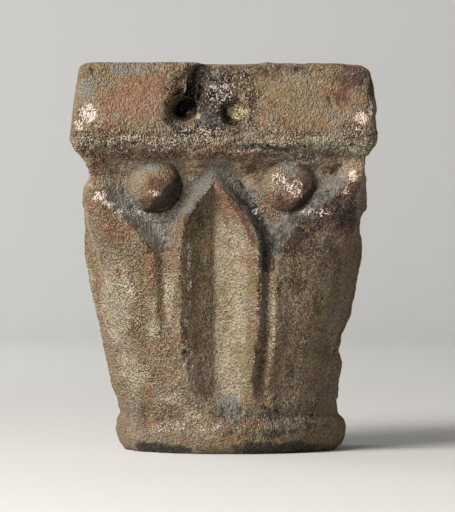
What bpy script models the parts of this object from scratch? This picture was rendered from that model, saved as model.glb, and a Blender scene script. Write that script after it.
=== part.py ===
"""A small cloister capital, carved from one block: abacus, bell with leaves and balls, astragal.

Metres, +Z up. The front looks along -Y. The origin is the centre of the underside.
Each face carries a pointed middle leaf with a deep valley, two half leaves that wrap the corners,
and two balls in the forks between them.
"""
import math
from collections import namedtuple

import bmesh
import bpy
from mathutils import Matrix, Vector

# Block
TOTAL_HEIGHT = 0.331
STONE_LEAN = -0.0065          # the stone above the astragal sits a little to the left
UNDERSIDE_DIAMETER = 0.176

# Astragal, the round ring at the foot, and the neck above it
ASTRAGAL_DIAMETER = 0.200
ASTRAGAL_HEIGHT = 0.031
ASTRAGAL_MIDDLE_SHARE = 0.52  # of its height, where the ring is widest
NECK_DIAMETER = 0.189
LEAN_START_SHARE = 0.6        # of the ring's height, where the stone above starts to lean
LEAN_FADE = 0.030

# Abacus, the square slab on top, battered so that it is widest at its lower arris
ABACUS_FACE_HEIGHT = 0.062
ABACUS_WIDTH = 0.260
ABACUS_TOP_WIDTH = 0.243
ABACUS_SQUARENESS = 22.0
ABACUS_EDGE_WEAR = 0.004
ABACUS_WEAR_START = 0.93      # share of the slab's height where its worn edge starts
UNDERCUT_HEIGHT = 0.031
UNDERCUT_CURVE = 1.5          # above 1, the underside starts flat and ends steep

# Bell, a straight taper from the neck up to the shoulder and upright above it
BELL_WIDTH = 0.239
BELL_TOP_WIDTH = 0.237
SHOULDER_HEIGHT = 0.166
NECK_SQUARENESS = 2.0
SHOULDER_SQUARENESS = 3.1
BELL_TOP_SQUARENESS = 15.0

# Middle leaf of each face
LEAF_WIDTH = 0.066
LEAF_FOOT_SHARE = 0.74        # of its width, left at the foot of the leaf
LEAF_FOOT_HEIGHT = 0.040
LEAF_FOOT_FADE = 0.014
LEAF_FULL_HEIGHT = 0.108
MIDDLE_LINE_SHARE = 0.8       # of that height, where the middle line has moved fully aside
LEAF_SPRING_HEIGHT = 0.180    # where the sides start to lean in to the point
LEAF_POINT_HEIGHT = 0.2295
LEAF_POINT_FADE = 0.006
LEAF_BEVEL = 0.0135           # width of the slope from the arris down to the ground
LEAF_PROUD = 0.0015
VALLEY_DEPTH = 0.021
VALLEY_HOLLOW = 0.66          # depth of the valley's flank half way up, as a share
VALLEY_LIP = 0.26             # share of that depth near the arris
VALLEY_NARROWING = 0.6        # power by which the valley gets shallower as the leaf narrows
VALLEY_COLUMNS = (0.5, 0.86)  # shares of the way from the valley to the arris

# Corner leaves
CORNER_SPRING_HEIGHT = 0.150
CORNER_DISH = 0.0035
CORNER_TIP_WIDTH = 0.022      # across the corner, measured on the two faces
CORNER_BEVEL = 0.016875
CORNER_BEVEL_GROWTH = 0.35    # share of the leaf's climb over which that slope widens
CORNER_COLUMNS = (0.35, 0.72)  # shares of the way from its crest to the corner
CORNER_FLATNESS = 0.6         # depth of the last column, as a share of the one before
DISH_SHOULDER = 0.5
DISH_FADE = 0.040
TIP_FADE = 0.016
TIP_SINK = 0.45               # share of the ground's depth that the crest sinks past the tip

# Ditches between the leaves, and the ground in the forks
GROOVE_DEPTH = 0.0085
GROUND_DEPTH = 0.0185
GROOVE_HALF_WIDTH = 0.0014
GROOVE_FADE_BELOW = 0.012
GROOVE_FADE_ABOVE = 0.018
GROUND_FULL_ABOVE_SPRING = 0.012
GROUND_END_BELOW_ARRIS = 0.004

# Balls in the forks
BALL_DIAMETER = 0.0455
BALL_SPACING = 0.1125
BALL_HEIGHT = 0.2280
BALL_PROUD = 0.003            # how far a ball stands out past the leaves
SIDE_BALL_DROP = 0.010        # the balls of the other faces are set lower
FRONT_BALL_SHIFT = -0.0022
BALL_TILT = math.radians(11.0)  # turns the facets of a ball off the upright
BALL_SEGMENTS = 16
BALL_RINGS = 10

# Damage: the broken middle of the abacus front, its two holes and the lost flake on the right
BREAK_WIDTH = 0.080
BREAK_HEIGHT = 0.080
BREAK_DEPTH = 0.0055
BREAK_OFFSET = -0.012
BREAK_FLAT_SHARE = 0.55       # of its radius, before it rises to its edge
BREAK_UPWARD_SHARE = 0.35     # stretches the hollow upward, to the top edge
LEFT_HOLE_DIAMETER = 0.027
LEFT_HOLE_DEPTH = 0.028
LEFT_HOLE_OFFSET = -0.0345
LEFT_HOLE_SLANT = (0.004, 0.002)  # how far its bottom lies to the right and up
LEFT_HOLE_MOUTH = 0.56        # radii as shares of the diameter
LEFT_HOLE_BOTTOM = 0.36
RIGHT_HOLE_DIAMETER = 0.0235
RIGHT_HOLE_DEPTH = 0.014
RIGHT_HOLE_OFFSET = 0.0100
RIGHT_HOLE_MOUTH = 0.54
RIGHT_HOLE_BOTTOM = 0.46
LEFT_HOLE_BELOW_TOP = 0.0400
RIGHT_HOLE_BELOW_TOP = 0.0435
HOLE_SEGMENTS = 11
HOLE_OVERRUN = 0.006          # how far a hole's tool starts outside the face
RUNNEL_WIDTH = 0.011
RUNNEL_TOP_SHARE = 0.48       # radii as shares of the width
RUNNEL_LOW_SHARE = 0.62
RUNNEL_TOP_SHIFT = 0.011      # to the right of the left hole, at the top and at the hole
RUNNEL_LOW_SHIFT = 0.006
RUNNEL_LOW_SINK = 0.003
RUNNEL_MEETS_HOLE = 0.2       # share of the hole's diameter above its middle
RUNNEL_OVERRUN = 0.004
RUNNEL_PROUD = 0.001
FLAKE_DEPTH = 0.0045
FLAKE_TOP_HEIGHT = 0.110
FLAKE_EDGE = 0.004            # half the height over which its upper edge fades
FLAKE_FADE = 0.030
FLAKE_FOCUS = 3               # power of how squarely the side faces right

STONE_COLOUR = (0.27, 0.21, 0.14, 1.0)
STONE_ROUGHNESS = 0.9

# Rows of points up the stone: how far two of the bands reach, and how many rows each band has
FOOT_BAND = 0.022
UNDERCUT_BAND = 0.012
RING_TURNS = (0.0, 0.25, 0.5, 0.75)
RING_ROWS, FOOT_ROWS, BELL_ROWS, FORK_ROWS, UNDERCUT_ROWS, SLAB_ROWS = 3, 5, 8, 11, 3, 4

# Worked out from the sizes above
ABACUS_ARRIS_HEIGHT = TOTAL_HEIGHT - ABACUS_FACE_HEIGHT
UNDERCUT_FOOT_HEIGHT = ABACUS_ARRIS_HEIGHT - UNDERCUT_HEIGHT
POINT_OF_BEVEL_HEIGHT = LEAF_POINT_HEIGHT + LEAF_BEVEL
RING_MIDDLE_HEIGHT = ASTRAGAL_HEIGHT * ASTRAGAL_MIDDLE_SHARE
FACES = 4
FRONT, RIGHT, BACK, LEFT = range(FACES)
ARRIS_CURVE = 1.6
LEAST_STEP = 0.0022           # between two columns of points

# One half of a face, as cut by hand: how much wider the leaf is than half its width, the slope
# outside its arris, the step up to the corner leaf, where the groove ends and the corner leaf's tip.
Flank = namedtuple("Flank", "arris_shift slope rise groove_end tip_height curve")

EVEN_FLANK = Flank(0.0, 0.0115, 0.0050, 0.060, 0.230, 1.5)
HAND_CUT = {
    (FRONT, -1): Flank(-0.0045, 0.0150, 0.0030, 0.095, 0.217, 1.35),
    (FRONT, 1): Flank(0.0042, 0.0080, 0.0060, 0.047, 0.233, 1.7),
    (RIGHT, -1): Flank(0.0010, 0.0100, 0.0050, 0.070, 0.233, 1.5),
    (BACK, 1): Flank(-0.0015, 0.0130, 0.0045, 0.055, 0.228, 1.6),
    (LEFT, 1): Flank(0.0015, 0.0120, 0.0050, 0.080, 0.224, 1.4),
}
# The middle line of each middle leaf, to the right of the face's own middle
MIDDLE_LINE = {FRONT: -0.0080, RIGHT: 0.0020, BACK: -0.0030, LEFT: 0.0010}


def clamp(value):
    return min(1.0, max(0.0, value))


def ease(low, high, value):
    """0 below low, 1 above high, and a smooth step between them."""
    share = clamp((value - low) / (high - low))
    return share * share * (3.0 - 2.0 * share)


def mix(start, end, share):
    return start + (end - start) * share


def flank_of(face, side):
    return HAND_CUT.get((face, side), EVEN_FLANK)


def half_width(z):
    """Half the width of the stone's outer faces at a height, without the carving."""
    neck = NECK_DIAMETER / 2
    if z < ASTRAGAL_HEIGHT:
        reach = abs(z - RING_MIDDLE_HEIGHT) / RING_MIDDLE_HEIGHT
        round_share = 1.0 - math.sqrt(max(0.0, 1.0 - reach * reach))
        low = UNDERSIDE_DIAMETER / 2 if z < RING_MIDDLE_HEIGHT else neck
        return mix(ASTRAGAL_DIAMETER / 2, low, clamp(round_share))
    if z < SHOULDER_HEIGHT:
        share = (z - ASTRAGAL_HEIGHT) / (SHOULDER_HEIGHT - ASTRAGAL_HEIGHT)
        return mix(neck, BELL_WIDTH / 2, share)
    if z < UNDERCUT_FOOT_HEIGHT:
        return mix(BELL_WIDTH / 2, BELL_TOP_WIDTH / 2, ease(SHOULDER_HEIGHT, UNDERCUT_FOOT_HEIGHT, z))
    if z < ABACUS_ARRIS_HEIGHT:
        share = (z - UNDERCUT_FOOT_HEIGHT) / UNDERCUT_HEIGHT
        flare = math.sin(share * math.pi / 2) ** UNDERCUT_CURVE
        return mix(BELL_TOP_WIDTH / 2, ABACUS_WIDTH / 2, flare)
    share = (z - ABACUS_ARRIS_HEIGHT) / ABACUS_FACE_HEIGHT
    wear = ABACUS_EDGE_WEAR * ease(ABACUS_WEAR_START, 1.0, share)
    return mix(ABACUS_WIDTH / 2, ABACUS_TOP_WIDTH / 2, share) - wear


def squareness(z):
    """Exponent of the superellipse: 2 is a circle, a large value a square with small round corners."""
    if z < SHOULDER_HEIGHT:
        return mix(NECK_SQUARENESS, SHOULDER_SQUARENESS, ease(ASTRAGAL_HEIGHT, SHOULDER_HEIGHT, z))
    if z < UNDERCUT_FOOT_HEIGHT:
        share = ease(SHOULDER_HEIGHT, UNDERCUT_FOOT_HEIGHT, z)
        return mix(SHOULDER_SQUARENESS, BELL_TOP_SQUARENESS, share)
    return mix(BELL_TOP_SQUARENESS, ABACUS_SQUARENESS, ease(UNDERCUT_FOOT_HEIGHT, ABACUS_ARRIS_HEIGHT, z))


def leaf_half_width(z, side_shift):
    """From the middle leaf's own middle line to its arris."""
    full = LEAF_WIDTH / 2 + side_shift
    foot = mix(LEAF_FOOT_SHARE, 1.0, ease(LEAF_FOOT_HEIGHT, LEAF_FULL_HEIGHT, z))
    lean = clamp((z - LEAF_SPRING_HEIGHT) / (LEAF_POINT_HEIGHT - LEAF_SPRING_HEIGHT))
    return full * foot * (1.0 - lean ** ARRIS_CURVE)


def bevel_half_width(z, flank):
    """From the middle leaf's own middle line to the foot of the slope outside it."""
    straight = leaf_half_width(min(z, LEAF_SPRING_HEIGHT), flank.arris_shift) + flank.slope
    spring = LEAF_SPRING_HEIGHT - LEAF_BEVEL / 2
    lean = clamp((z - spring) / (POINT_OF_BEVEL_HEIGHT - spring))
    return straight * (1.0 - lean ** ARRIS_CURVE)


def stations(z, face, side):
    """Offsets of the columns across one half of a face, from its middle to its corner."""
    flank = flank_of(face, side)
    corner = half_width(z) * 2.0 ** (-1.0 / squareness(z))
    aside = ease(ASTRAGAL_HEIGHT / 2, LEAF_FULL_HEIGHT * MIDDLE_LINE_SHARE, z)
    valley = MIDDLE_LINE[face] * aside * side
    arris = valley + max(leaf_half_width(z, flank.arris_shift), LEAST_STEP)
    foot = max(valley + bevel_half_width(z, flank), arris + LEAST_STEP)
    straight = leaf_half_width(min(z, LEAF_SPRING_HEIGHT), flank.arris_shift) + flank.slope
    rise = valley + straight + flank.rise
    climb = clamp((z - CORNER_SPRING_HEIGHT) / (flank.tip_height - CORNER_SPRING_HEIGHT)) ** flank.curve
    crest = mix(rise, corner - CORNER_TIP_WIDTH / 2, climb)
    slope = mix(flank.rise - GROOVE_HALF_WIDTH, CORNER_BEVEL, ease(0.0, CORNER_BEVEL_GROWTH, climb))
    corner_foot = max(crest - slope, foot + 2 * GROOVE_HALF_WIDTH)
    crest = max(crest, corner_foot + LEAST_STEP)
    dish, shoulder = (mix(crest, corner, share) for share in CORNER_COLUMNS)
    low, high = (mix(valley, arris, share) for share in VALLEY_COLUMNS)
    return [
        valley,
        low,
        high,
        arris,
        foot,
        mix(foot, corner_foot, 0.5),
        corner_foot,
        crest,
        dish,
        shoulder,
    ]


def depths(z, face, side):
    """How deep each column is cut below the stone's outer face."""
    flank = flank_of(face, side)
    leaf = ease(LEAF_FOOT_HEIGHT, LEAF_FOOT_HEIGHT + LEAF_FOOT_FADE, z)
    cut = ease(flank.groove_end - GROOVE_FADE_BELOW, flank.groove_end + GROOVE_FADE_ABOVE, z)
    groove = cut * GROOVE_DEPTH
    sunk = ease(CORNER_SPRING_HEIGHT, LEAF_SPRING_HEIGHT + GROUND_FULL_ABOVE_SPRING, z)
    ground = mix(groove, GROUND_DEPTH, sunk)
    ground *= 1.0 - ease(UNDERCUT_FOOT_HEIGHT, ABACUS_ARRIS_HEIGHT - GROUND_END_BELOW_ARRIS, z)
    at_point = ease(LEAF_POINT_HEIGHT - LEAF_POINT_FADE, POINT_OF_BEVEL_HEIGHT, z)
    narrow = clamp(leaf_half_width(z, 0.0) / (LEAF_WIDTH / 2))
    valley = mix(VALLEY_DEPTH * leaf * narrow ** VALLEY_NARROWING, ground, at_point)
    arris = mix(-LEAF_PROUD * leaf, ground, at_point)
    past_tip = ease(flank.tip_height, flank.tip_height + TIP_FADE, z)
    crest = ground * TIP_SINK * past_tip
    dish = CORNER_DISH * leaf * (1.0 - ease(flank.tip_height - DISH_FADE, flank.tip_height, z))
    return [
        valley,
        mix(arris, valley, VALLEY_HOLLOW),
        mix(arris, valley, VALLEY_HOLLOW * VALLEY_LIP),
        arris,
        ground,
        ground,
        ground,
        crest,
        mix(crest, dish, 1.0 - past_tip),
        mix(crest, dish * DISH_SHOULDER, 1.0 - past_tip) * CORNER_FLATNESS,
    ]


def break_depth(offset, z):
    """The rough hollow where the middle of the abacus front has broken away."""
    middle_height = TOTAL_HEIGHT - BREAK_HEIGHT / 2
    across = (offset - BREAK_OFFSET) / (BREAK_WIDTH / 2)
    up = (z - middle_height) / (BREAK_HEIGHT / 2)
    if up > 0.0:
        up *= BREAK_UPWARD_SHARE
    return BREAK_DEPTH * (1.0 - ease(BREAK_FLAT_SHARE, 1.0, math.hypot(across, up)))


def flake_depth(point, z):
    """A flake is gone from the lower right side of the bell."""
    if point.x <= 0.0 or z < ASTRAGAL_HEIGHT:
        return 0.0
    facing = clamp(point.x / point.length) ** FLAKE_FOCUS
    fade = 1.0 - ease(FLAKE_TOP_HEIGHT - FLAKE_EDGE, FLAKE_TOP_HEIGHT + FLAKE_EDGE, z)
    return FLAKE_DEPTH * facing * fade * ease(ASTRAGAL_HEIGHT, ASTRAGAL_HEIGHT + FLAKE_FADE, z)


def outline_point(offset, z):
    """A point of the front face on the superellipse, and its outward direction."""
    half = half_width(z)
    power = squareness(z)
    across = clamp(abs(offset) / half)
    away = (1.0 - across ** power) ** (1.0 / power)
    outward = Vector((math.copysign(across ** (power - 1.0), offset), -(away ** (power - 1.0))))
    return Vector((offset, -half * away)), outward.normalized()


def section(z):
    """One closed row of points at a height, anticlockwise from above."""
    row = []
    lean = STONE_LEAN * ease(ASTRAGAL_HEIGHT * LEAN_START_SHARE, ASTRAGAL_HEIGHT + LEAN_FADE, z)
    for face in range(FACES):
        turn = Matrix.Rotation(face * math.pi / 2, 2)
        left = list(zip(stations(z, face, -1), depths(z, face, -1)))
        right = list(zip(stations(z, face, 1), depths(z, face, 1)))
        corner = half_width(z) * 2.0 ** (-1.0 / squareness(z))
        columns = [(-offset, depth) for offset, depth in reversed(left[1:])]
        columns += right + [(corner, 0.0)]
        for offset, depth in columns:
            point, outward = outline_point(offset, z)
            if face == FRONT:
                depth += break_depth(offset, z)
            placed = turn @ (point - outward * depth)
            placed -= placed.normalized() * flake_depth(placed, z)
            row.append((placed.x + lean, placed.y, z))
    return row


def steps(low, high, count):
    """Even heights from low up to, and without, high."""
    return [low + (high - low) * index / count for index in range(count)]


def row_heights():
    rows = [RING_MIDDLE_HEIGHT * (1.0 - math.cos(turn * math.pi / 2)) for turn in RING_TURNS]
    rows += steps(RING_MIDDLE_HEIGHT, ASTRAGAL_HEIGHT, RING_ROWS)
    rows += steps(ASTRAGAL_HEIGHT, LEAF_FOOT_HEIGHT + FOOT_BAND, FOOT_ROWS)
    rows += steps(LEAF_FOOT_HEIGHT + FOOT_BAND, SHOULDER_HEIGHT, BELL_ROWS)
    rows += steps(SHOULDER_HEIGHT, UNDERCUT_FOOT_HEIGHT + UNDERCUT_BAND, FORK_ROWS)
    rows += steps(UNDERCUT_FOOT_HEIGHT + UNDERCUT_BAND, ABACUS_ARRIS_HEIGHT, UNDERCUT_ROWS)
    rows += steps(ABACUS_ARRIS_HEIGHT, TOTAL_HEIGHT - ABACUS_EDGE_WEAR, SLAB_ROWS)
    rows += [TOTAL_HEIGHT - ABACUS_EDGE_WEAR, TOTAL_HEIGHT]
    return sorted(rows)


def new_object(name, mesh_data, material):
    mesh = bpy.data.meshes.new(name)
    mesh_data.to_mesh(mesh)
    mesh_data.free()
    mesh.materials.append(material)
    thing = bpy.data.objects.new(name, mesh)
    bpy.context.scene.collection.objects.link(thing)
    return thing


def make_block(material):
    """The loft of every row, closed by the two flat beds."""
    block = bmesh.new()
    rows = [[block.verts.new(point) for point in section(z)] for z in row_heights()]
    count = len(rows[0])
    for lower, upper in zip(rows, rows[1:]):
        for index in range(count):
            after = (index + 1) % count
            block.faces.new((lower[index], lower[after], upper[after], upper[index]))
    block.faces.new(list(reversed(rows[0])))
    block.faces.new(rows[-1])
    bmesh.ops.triangulate(block, faces=block.faces[:])
    return new_object("capital", block, material)


def make_tool(name, mesh_data, material):
    """A shape that a Boolean reads, and the build leaves out."""
    tool = new_object(name, mesh_data, material)
    tool.hide_render = True
    tool.display_type = "WIRE"
    return tool


def combine(target, tool, operation):
    change = target.modifiers.new(tool.name, "BOOLEAN")
    change.object = tool
    change.operation = operation
    change.solver = "EXACT"


def ball_middle(face, side):
    drop = 0.0 if face == FRONT else SIDE_BALL_DROP
    height = BALL_HEIGHT - drop
    offset = side * BALL_SPACING / 2 + (FRONT_BALL_SHIFT if face == FRONT else 0.0)
    point, outward = outline_point(offset, height)
    point += outward * (BALL_PROUD - BALL_DIAMETER / 2)
    turned = Matrix.Rotation(face * math.pi / 2, 2) @ point
    return Vector((turned.x + STONE_LEAN, turned.y, height))


def make_balls(material):
    balls = bmesh.new()
    for face in range(FACES):
        for side in (-1, 1):
            place = Matrix.Translation(ball_middle(face, side))
            tilt = Matrix.Rotation(BALL_TILT, 4, "X")
            bmesh.ops.create_uvsphere(
                balls, u_segments=BALL_SEGMENTS, v_segments=BALL_RINGS, radius=BALL_DIAMETER / 2,
                matrix=place @ tilt)
    return make_tool("ball_shapes", balls, material)


def add_bore(tools, mouth, bottom, mouth_radius, bottom_radius):
    """A tapered round hole from its mouth to its bottom."""
    path = bottom - mouth
    turn = path.to_track_quat("Z", "Y").to_matrix().to_4x4()
    bmesh.ops.create_cone(
        tools, cap_ends=True, segments=HOLE_SEGMENTS, radius1=mouth_radius, radius2=bottom_radius,
        depth=path.length, matrix=Matrix.Translation((mouth + bottom) / 2) @ turn)


def make_holes(material):
    """Two drilled holes in the abacus front."""
    tools = bmesh.new()
    face_y = -half_width(TOTAL_HEIGHT - LEFT_HOLE_BELOW_TOP)
    clear = Vector((0, HOLE_OVERRUN, 0))
    aside, up = LEFT_HOLE_SLANT
    left = Vector((STONE_LEAN + LEFT_HOLE_OFFSET, face_y, TOTAL_HEIGHT - LEFT_HOLE_BELOW_TOP))
    right = Vector((STONE_LEAN + RIGHT_HOLE_OFFSET, face_y, TOTAL_HEIGHT - RIGHT_HOLE_BELOW_TOP))
    add_bore(
        tools, left - clear, left + Vector((aside, LEFT_HOLE_DEPTH, up)),
        LEFT_HOLE_DIAMETER * LEFT_HOLE_MOUTH, LEFT_HOLE_DIAMETER * LEFT_HOLE_BOTTOM)
    add_bore(
        tools, right - clear, right + Vector((0, RIGHT_HOLE_DEPTH, 0)),
        RIGHT_HOLE_DIAMETER * RIGHT_HOLE_MOUTH, RIGHT_HOLE_DIAMETER * RIGHT_HOLE_BOTTOM)
    return make_tool("hole_shapes", tools, material)


def make_runnel(material):
    """The channel that runs from the left hole up to the top edge."""
    tools = bmesh.new()
    face_y = -half_width(TOTAL_HEIGHT) - RUNNEL_PROUD
    hole_x = STONE_LEAN + LEFT_HOLE_OFFSET
    meets = TOTAL_HEIGHT - LEFT_HOLE_BELOW_TOP + LEFT_HOLE_DIAMETER * RUNNEL_MEETS_HOLE
    top = Vector((hole_x + RUNNEL_TOP_SHIFT, face_y, TOTAL_HEIGHT + RUNNEL_OVERRUN))
    low = Vector((hole_x + RUNNEL_LOW_SHIFT, face_y + RUNNEL_LOW_SINK, meets))
    add_bore(tools, low, top, RUNNEL_WIDTH * RUNNEL_LOW_SHARE, RUNNEL_WIDTH * RUNNEL_TOP_SHARE)
    return make_tool("runnel_shape", tools, material)


def make_stone():
    material = bpy.data.materials.new("weathered_stone")
    material.use_nodes = True
    shader = material.node_tree.nodes["Principled BSDF"]
    shader.inputs["Base Color"].default_value = STONE_COLOUR
    shader.inputs["Roughness"].default_value = STONE_ROUGHNESS
    shader.inputs["Metallic"].default_value = 0.0
    return material


def main():
    for thing in list(bpy.data.objects):
        bpy.data.objects.remove(thing, do_unlink=True)
    stone = make_stone()
    capital = make_block(stone)
    combine(capital, make_balls(stone), "UNION")
    combine(capital, make_holes(stone), "DIFFERENCE")
    combine(capital, make_runnel(stone), "DIFFERENCE")


main()
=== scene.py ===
"""A weathered cloister capital: the looks of the carved stone, its camera, light and floor.

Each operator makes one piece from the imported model. Lengths are in metres unless a name ends in _mm.
The front looks along -Y. Places on the front are given from the middle of the foot, to the right and up.
"""
import math
from collections import namedtuple

import bmesh
import bpy
import numpy as np
from bpy.props import FloatProperty, FloatVectorProperty, IntProperty, PointerProperty
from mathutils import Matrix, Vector


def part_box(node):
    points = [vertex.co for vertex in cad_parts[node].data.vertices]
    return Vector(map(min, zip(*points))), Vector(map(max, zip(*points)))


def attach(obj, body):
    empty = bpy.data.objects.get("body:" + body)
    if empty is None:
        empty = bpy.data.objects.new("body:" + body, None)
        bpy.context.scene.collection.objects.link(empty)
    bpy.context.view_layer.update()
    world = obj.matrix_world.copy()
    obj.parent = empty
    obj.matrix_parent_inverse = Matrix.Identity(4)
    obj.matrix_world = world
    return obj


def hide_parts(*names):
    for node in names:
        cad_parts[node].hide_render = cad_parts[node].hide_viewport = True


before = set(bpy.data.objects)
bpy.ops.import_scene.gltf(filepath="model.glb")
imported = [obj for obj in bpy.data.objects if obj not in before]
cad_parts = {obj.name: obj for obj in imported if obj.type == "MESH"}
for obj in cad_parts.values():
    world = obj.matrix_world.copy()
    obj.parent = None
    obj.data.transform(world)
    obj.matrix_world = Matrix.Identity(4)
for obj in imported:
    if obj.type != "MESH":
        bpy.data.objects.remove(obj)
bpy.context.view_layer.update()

bl_info = {
    "name": "Cloister Capital",
    "version": (1, 0, 0),
    "blender": (4, 5, 0),
    "location": "3D View > Sidebar > Capital",
    "description": "Weathered finish, camera and light for a carved stone capital",
    "category": "Object",
}

NODE_LOW, NODE_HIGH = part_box("capital")
HEIGHT_MM = NODE_HIGH.z * 1000.0
MIDDLE_MM = (NODE_LOW.x + NODE_HIGH.x) * 500.0
HALF_WIDTH_MM = (NODE_HIGH.x - NODE_LOW.x) * 500.0
FACES = 4
TRIANGLE_LIMIT = 196000

# Heights of the main forms, as shares of the stone's height, and where the middle valley's crease runs
ABACUS_FOOT_MM = HEIGHT_MM * 0.81
UNDERCUT_FOOT_MM = HEIGHT_MM * 0.72
FORK_MM = HEIGHT_MM * 0.52
NECK_MM = HEIGHT_MM * 0.094
VALLEY_MM = -14.5

# Camera, as the photograph was taken: level, at half height, through a long lens
CAMERA_DISTANCE = 3.0
CAMERA_HEIGHT = 0.168
CAMERA_SIDE = -0.003
FRAME_PIXELS = 512
PIXEL_SIZE = 0.000874
SENSOR_MM = 36.0


def linear(code):
    """An sRGB hex colour as the linear RGBA that a shader takes."""
    channels = [int(code[i:i + 2], 16) / 255.0 for i in (1, 3, 5)]
    return tuple(c / 12.92 if c <= 0.04045 else ((c + 0.055) / 1.055) ** 2.4 for c in channels) + (1.0,)


def colour_property(name, description, code):
    return FloatVectorProperty(
        name=name, description=description, subtype="COLOR", size=4, min=0.0, max=1.0, default=linear(code))


def length_property(name, description, value):
    return FloatProperty(
        name=name, description=description, default=value, min=0.0, subtype="DISTANCE", unit="LENGTH")


class CapitalSizes(bpy.types.PropertyGroup):
    """Sizes of the stone's worn surface."""

    voxel: length_property("Mesh Step", "Spacing of the mesh that the carving is remade on", 0.0013)
    wear: IntProperty(name="Arris Wear", description="Rounds of smoothing on worn arrises", default=6, min=0)
    swell_size: length_property("Swell Size", "Width of the slow waves in the dressed faces", 0.034)
    swell_depth: length_property("Swell Depth", "Depth of those waves", 0.0006)
    dent_size: length_property("Dent Size", "Width of the dents left by tools and weather", 0.011)
    dent_depth: length_property("Dent Depth", "Depth of the dents", 0.0007)
    grain_size: length_property("Grain Size", "Width of the coarse crystals that stand out", 0.0040)
    grain_depth: length_property("Grain Depth", "Depth between the crystals", 0.0013)
    pit_size: length_property("Pit Size", "Spacing of the weathered pits", 0.0115)
    pit_depth: length_property("Pit Depth", "Depth of the pits", 0.0016)
    seed: IntProperty(name="Seed", description="Which pattern of dents and pits", default=11)


class CapitalColours(bpy.types.PropertyGroup):
    """Colours of the stone, of what time left on it, and of the light and shade painted on it."""

    buff: colour_property("Buff", "The weathered ground colour", "#8F7F6B")
    # Cream is also painted light: on the valley's lit flank and in the band under the slab.
    cream: colour_property("Cream", "The paler, cleaner stone", "#AFA38A")
    olive: colour_property("Olive", "Thin lichen and old wash", "#857655")
    rust: colour_property("Rust", "Iron stain", "#8E6850")
    # Deep rust is also painted shade: on the balls' low right and on the top of the right corner leaf.
    deep_rust: colour_property("Deep Rust", "The darkest iron stain", "#5A3D2F")
    slate: colour_property("Slate", "Blue grey crust in the sheltered ditches", "#7F7A72")
    # Grime is also painted shade: the balls' crescents, the right-facing ditches, the gouge, the valley's
    # dim flank, the pits and the foot.
    grime: colour_property("Grime", "Dark crust in the hollows", "#211A15")
    # The fresh-break colour also paints the glints on hackly crystals.
    chip: colour_property("Fresh Break", "Crystalline stone where a chip came off", "#E6D3C6")
    straw: colour_property("Straw", "Grainy fill at the bottom of a hole", "#BDB087")


class CapitalStage(bpy.types.PropertyGroup):
    """The floor, backdrop and lights."""

    floor: colour_property("Floor", "Pale floor and backdrop", "#D2D1CF")
    radius: length_property("Backdrop Radius", "How far the floor runs before it turns up", 3.9)
    bend: length_property("Backdrop Bend", "Radius of the turn from floor to backdrop", 2.4)
    key: FloatProperty(
        name="Key Light", description="Power of the main soft light", default=196.0, unit="POWER")
    wash: FloatProperty(
        name="Backdrop Light", description="Power of the lamp on the backdrop", default=140.0, unit="POWER")
    sky: FloatProperty(name="Room Light", description="Strength of the even light of the room", default=0.18)


# Arrays
MM_IN_METRE = 1000.0
CELL_FACTORS = (73856093, 19349663, 83492791, 26544357)
MIX_FACTORS = (1274126177, 668265263)
LATTICE_SHIFT = 137.31
FRACTAL_GAIN = 1.5

# What counts as the front: how far it faces forward, and how far forward it lies in mm
FRONT_FACING = (0.05, 0.45)
FRONT_DEPTH_MM = (40.0, 60.0)


def clamp(value):
    return np.clip(value, 0.0, 1.0)


def ease(low, high, value):
    """0 below low, 1 above high, and a smooth step between them."""
    share = clamp((value - low) / (high - low))
    return share * share * (3.0 - 2.0 * share)


def band(low, high, soft, value):
    """1 between low and high, falling to 0 over soft on either side."""
    return ease(low - soft, low, value) * (1.0 - ease(high, high + soft, value))


def cell_value(x, y, z, seed):
    """A repeatable value from 0 to 1 for each cell of a lattice."""
    mixed = 0
    for number, factor in zip((x, y, z, seed), CELL_FACTORS):
        mixed = mixed ^ (number * factor)
    for shift, factor in zip((13, 16), MIX_FACTORS):
        mixed = ((mixed ^ (mixed >> shift)) * factor) & 0xFFFFFFFF
    return ((mixed >> 8) & 0xFFFF) / 0xFFFF


def noise(points, size, seed):
    """Smooth noise from -1 to 1 with cells of the given size."""
    place = points / size + LATTICE_SHIFT
    cell = np.floor(place).astype(np.int64)
    share = place - cell
    share = share * share * (3.0 - 2.0 * share)
    total = np.zeros(len(points))
    for dx in (0, 1):
        wx = share[:, 0] if dx else 1.0 - share[:, 0]
        for dy in (0, 1):
            wy = share[:, 1] if dy else 1.0 - share[:, 1]
            for dz in (0, 1):
                wz = share[:, 2] if dz else 1.0 - share[:, 2]
                value = cell_value(cell[:, 0] + dx, cell[:, 1] + dy, cell[:, 2] + dz, seed)
                total += wx * wy * wz * value
    return total * 2.0 - 1.0


def fractal(points, size, octaves, seed):
    """Noise of several sizes, each half of the last, from about -1 to 1."""
    total = np.zeros(len(points))
    reach = 0.0
    for octave in range(octaves):
        weight = 0.5 ** octave
        total += weight * noise(points, size * weight, seed + octave * 17)
        reach += weight
    return total / reach * FRACTAL_GAIN


# Patterns of unevenness: the width of the largest, the octaves and the seed
UNEVEN = {
    "slab": (26.0, 3, 41), "undercut": (6.5, 4, 43), "break": (15.0, 4, 51), "gouge": (7.0, 3, 25),
    "mouth": (5.0, 2, 23), "flats": (6.0, 2, 61), "nibbles": (9.0, 2, 91), "foot": (12.0, 3, 93),
    "blotch": (46.0, 3, 101), "cloud": (30.0, 3, 103), "hackly": (28.0, 3, 111), "crescent": (9.0, 3, 303),
}
TOP_EDGE_NOISE = (13.0, 5)
CREASE_NOISE = (9.0, 311)
CHIP_NOISE_MM = 2.6
CHIP_NOISE_SEED = 80


def uneven(points, name):
    return fractal(points, *UNEVEN[name])


def cloudy(points, name):
    """The same, as a share from about 0 to 1."""
    return 0.5 + 0.5 * uneven(points, name)


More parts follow.
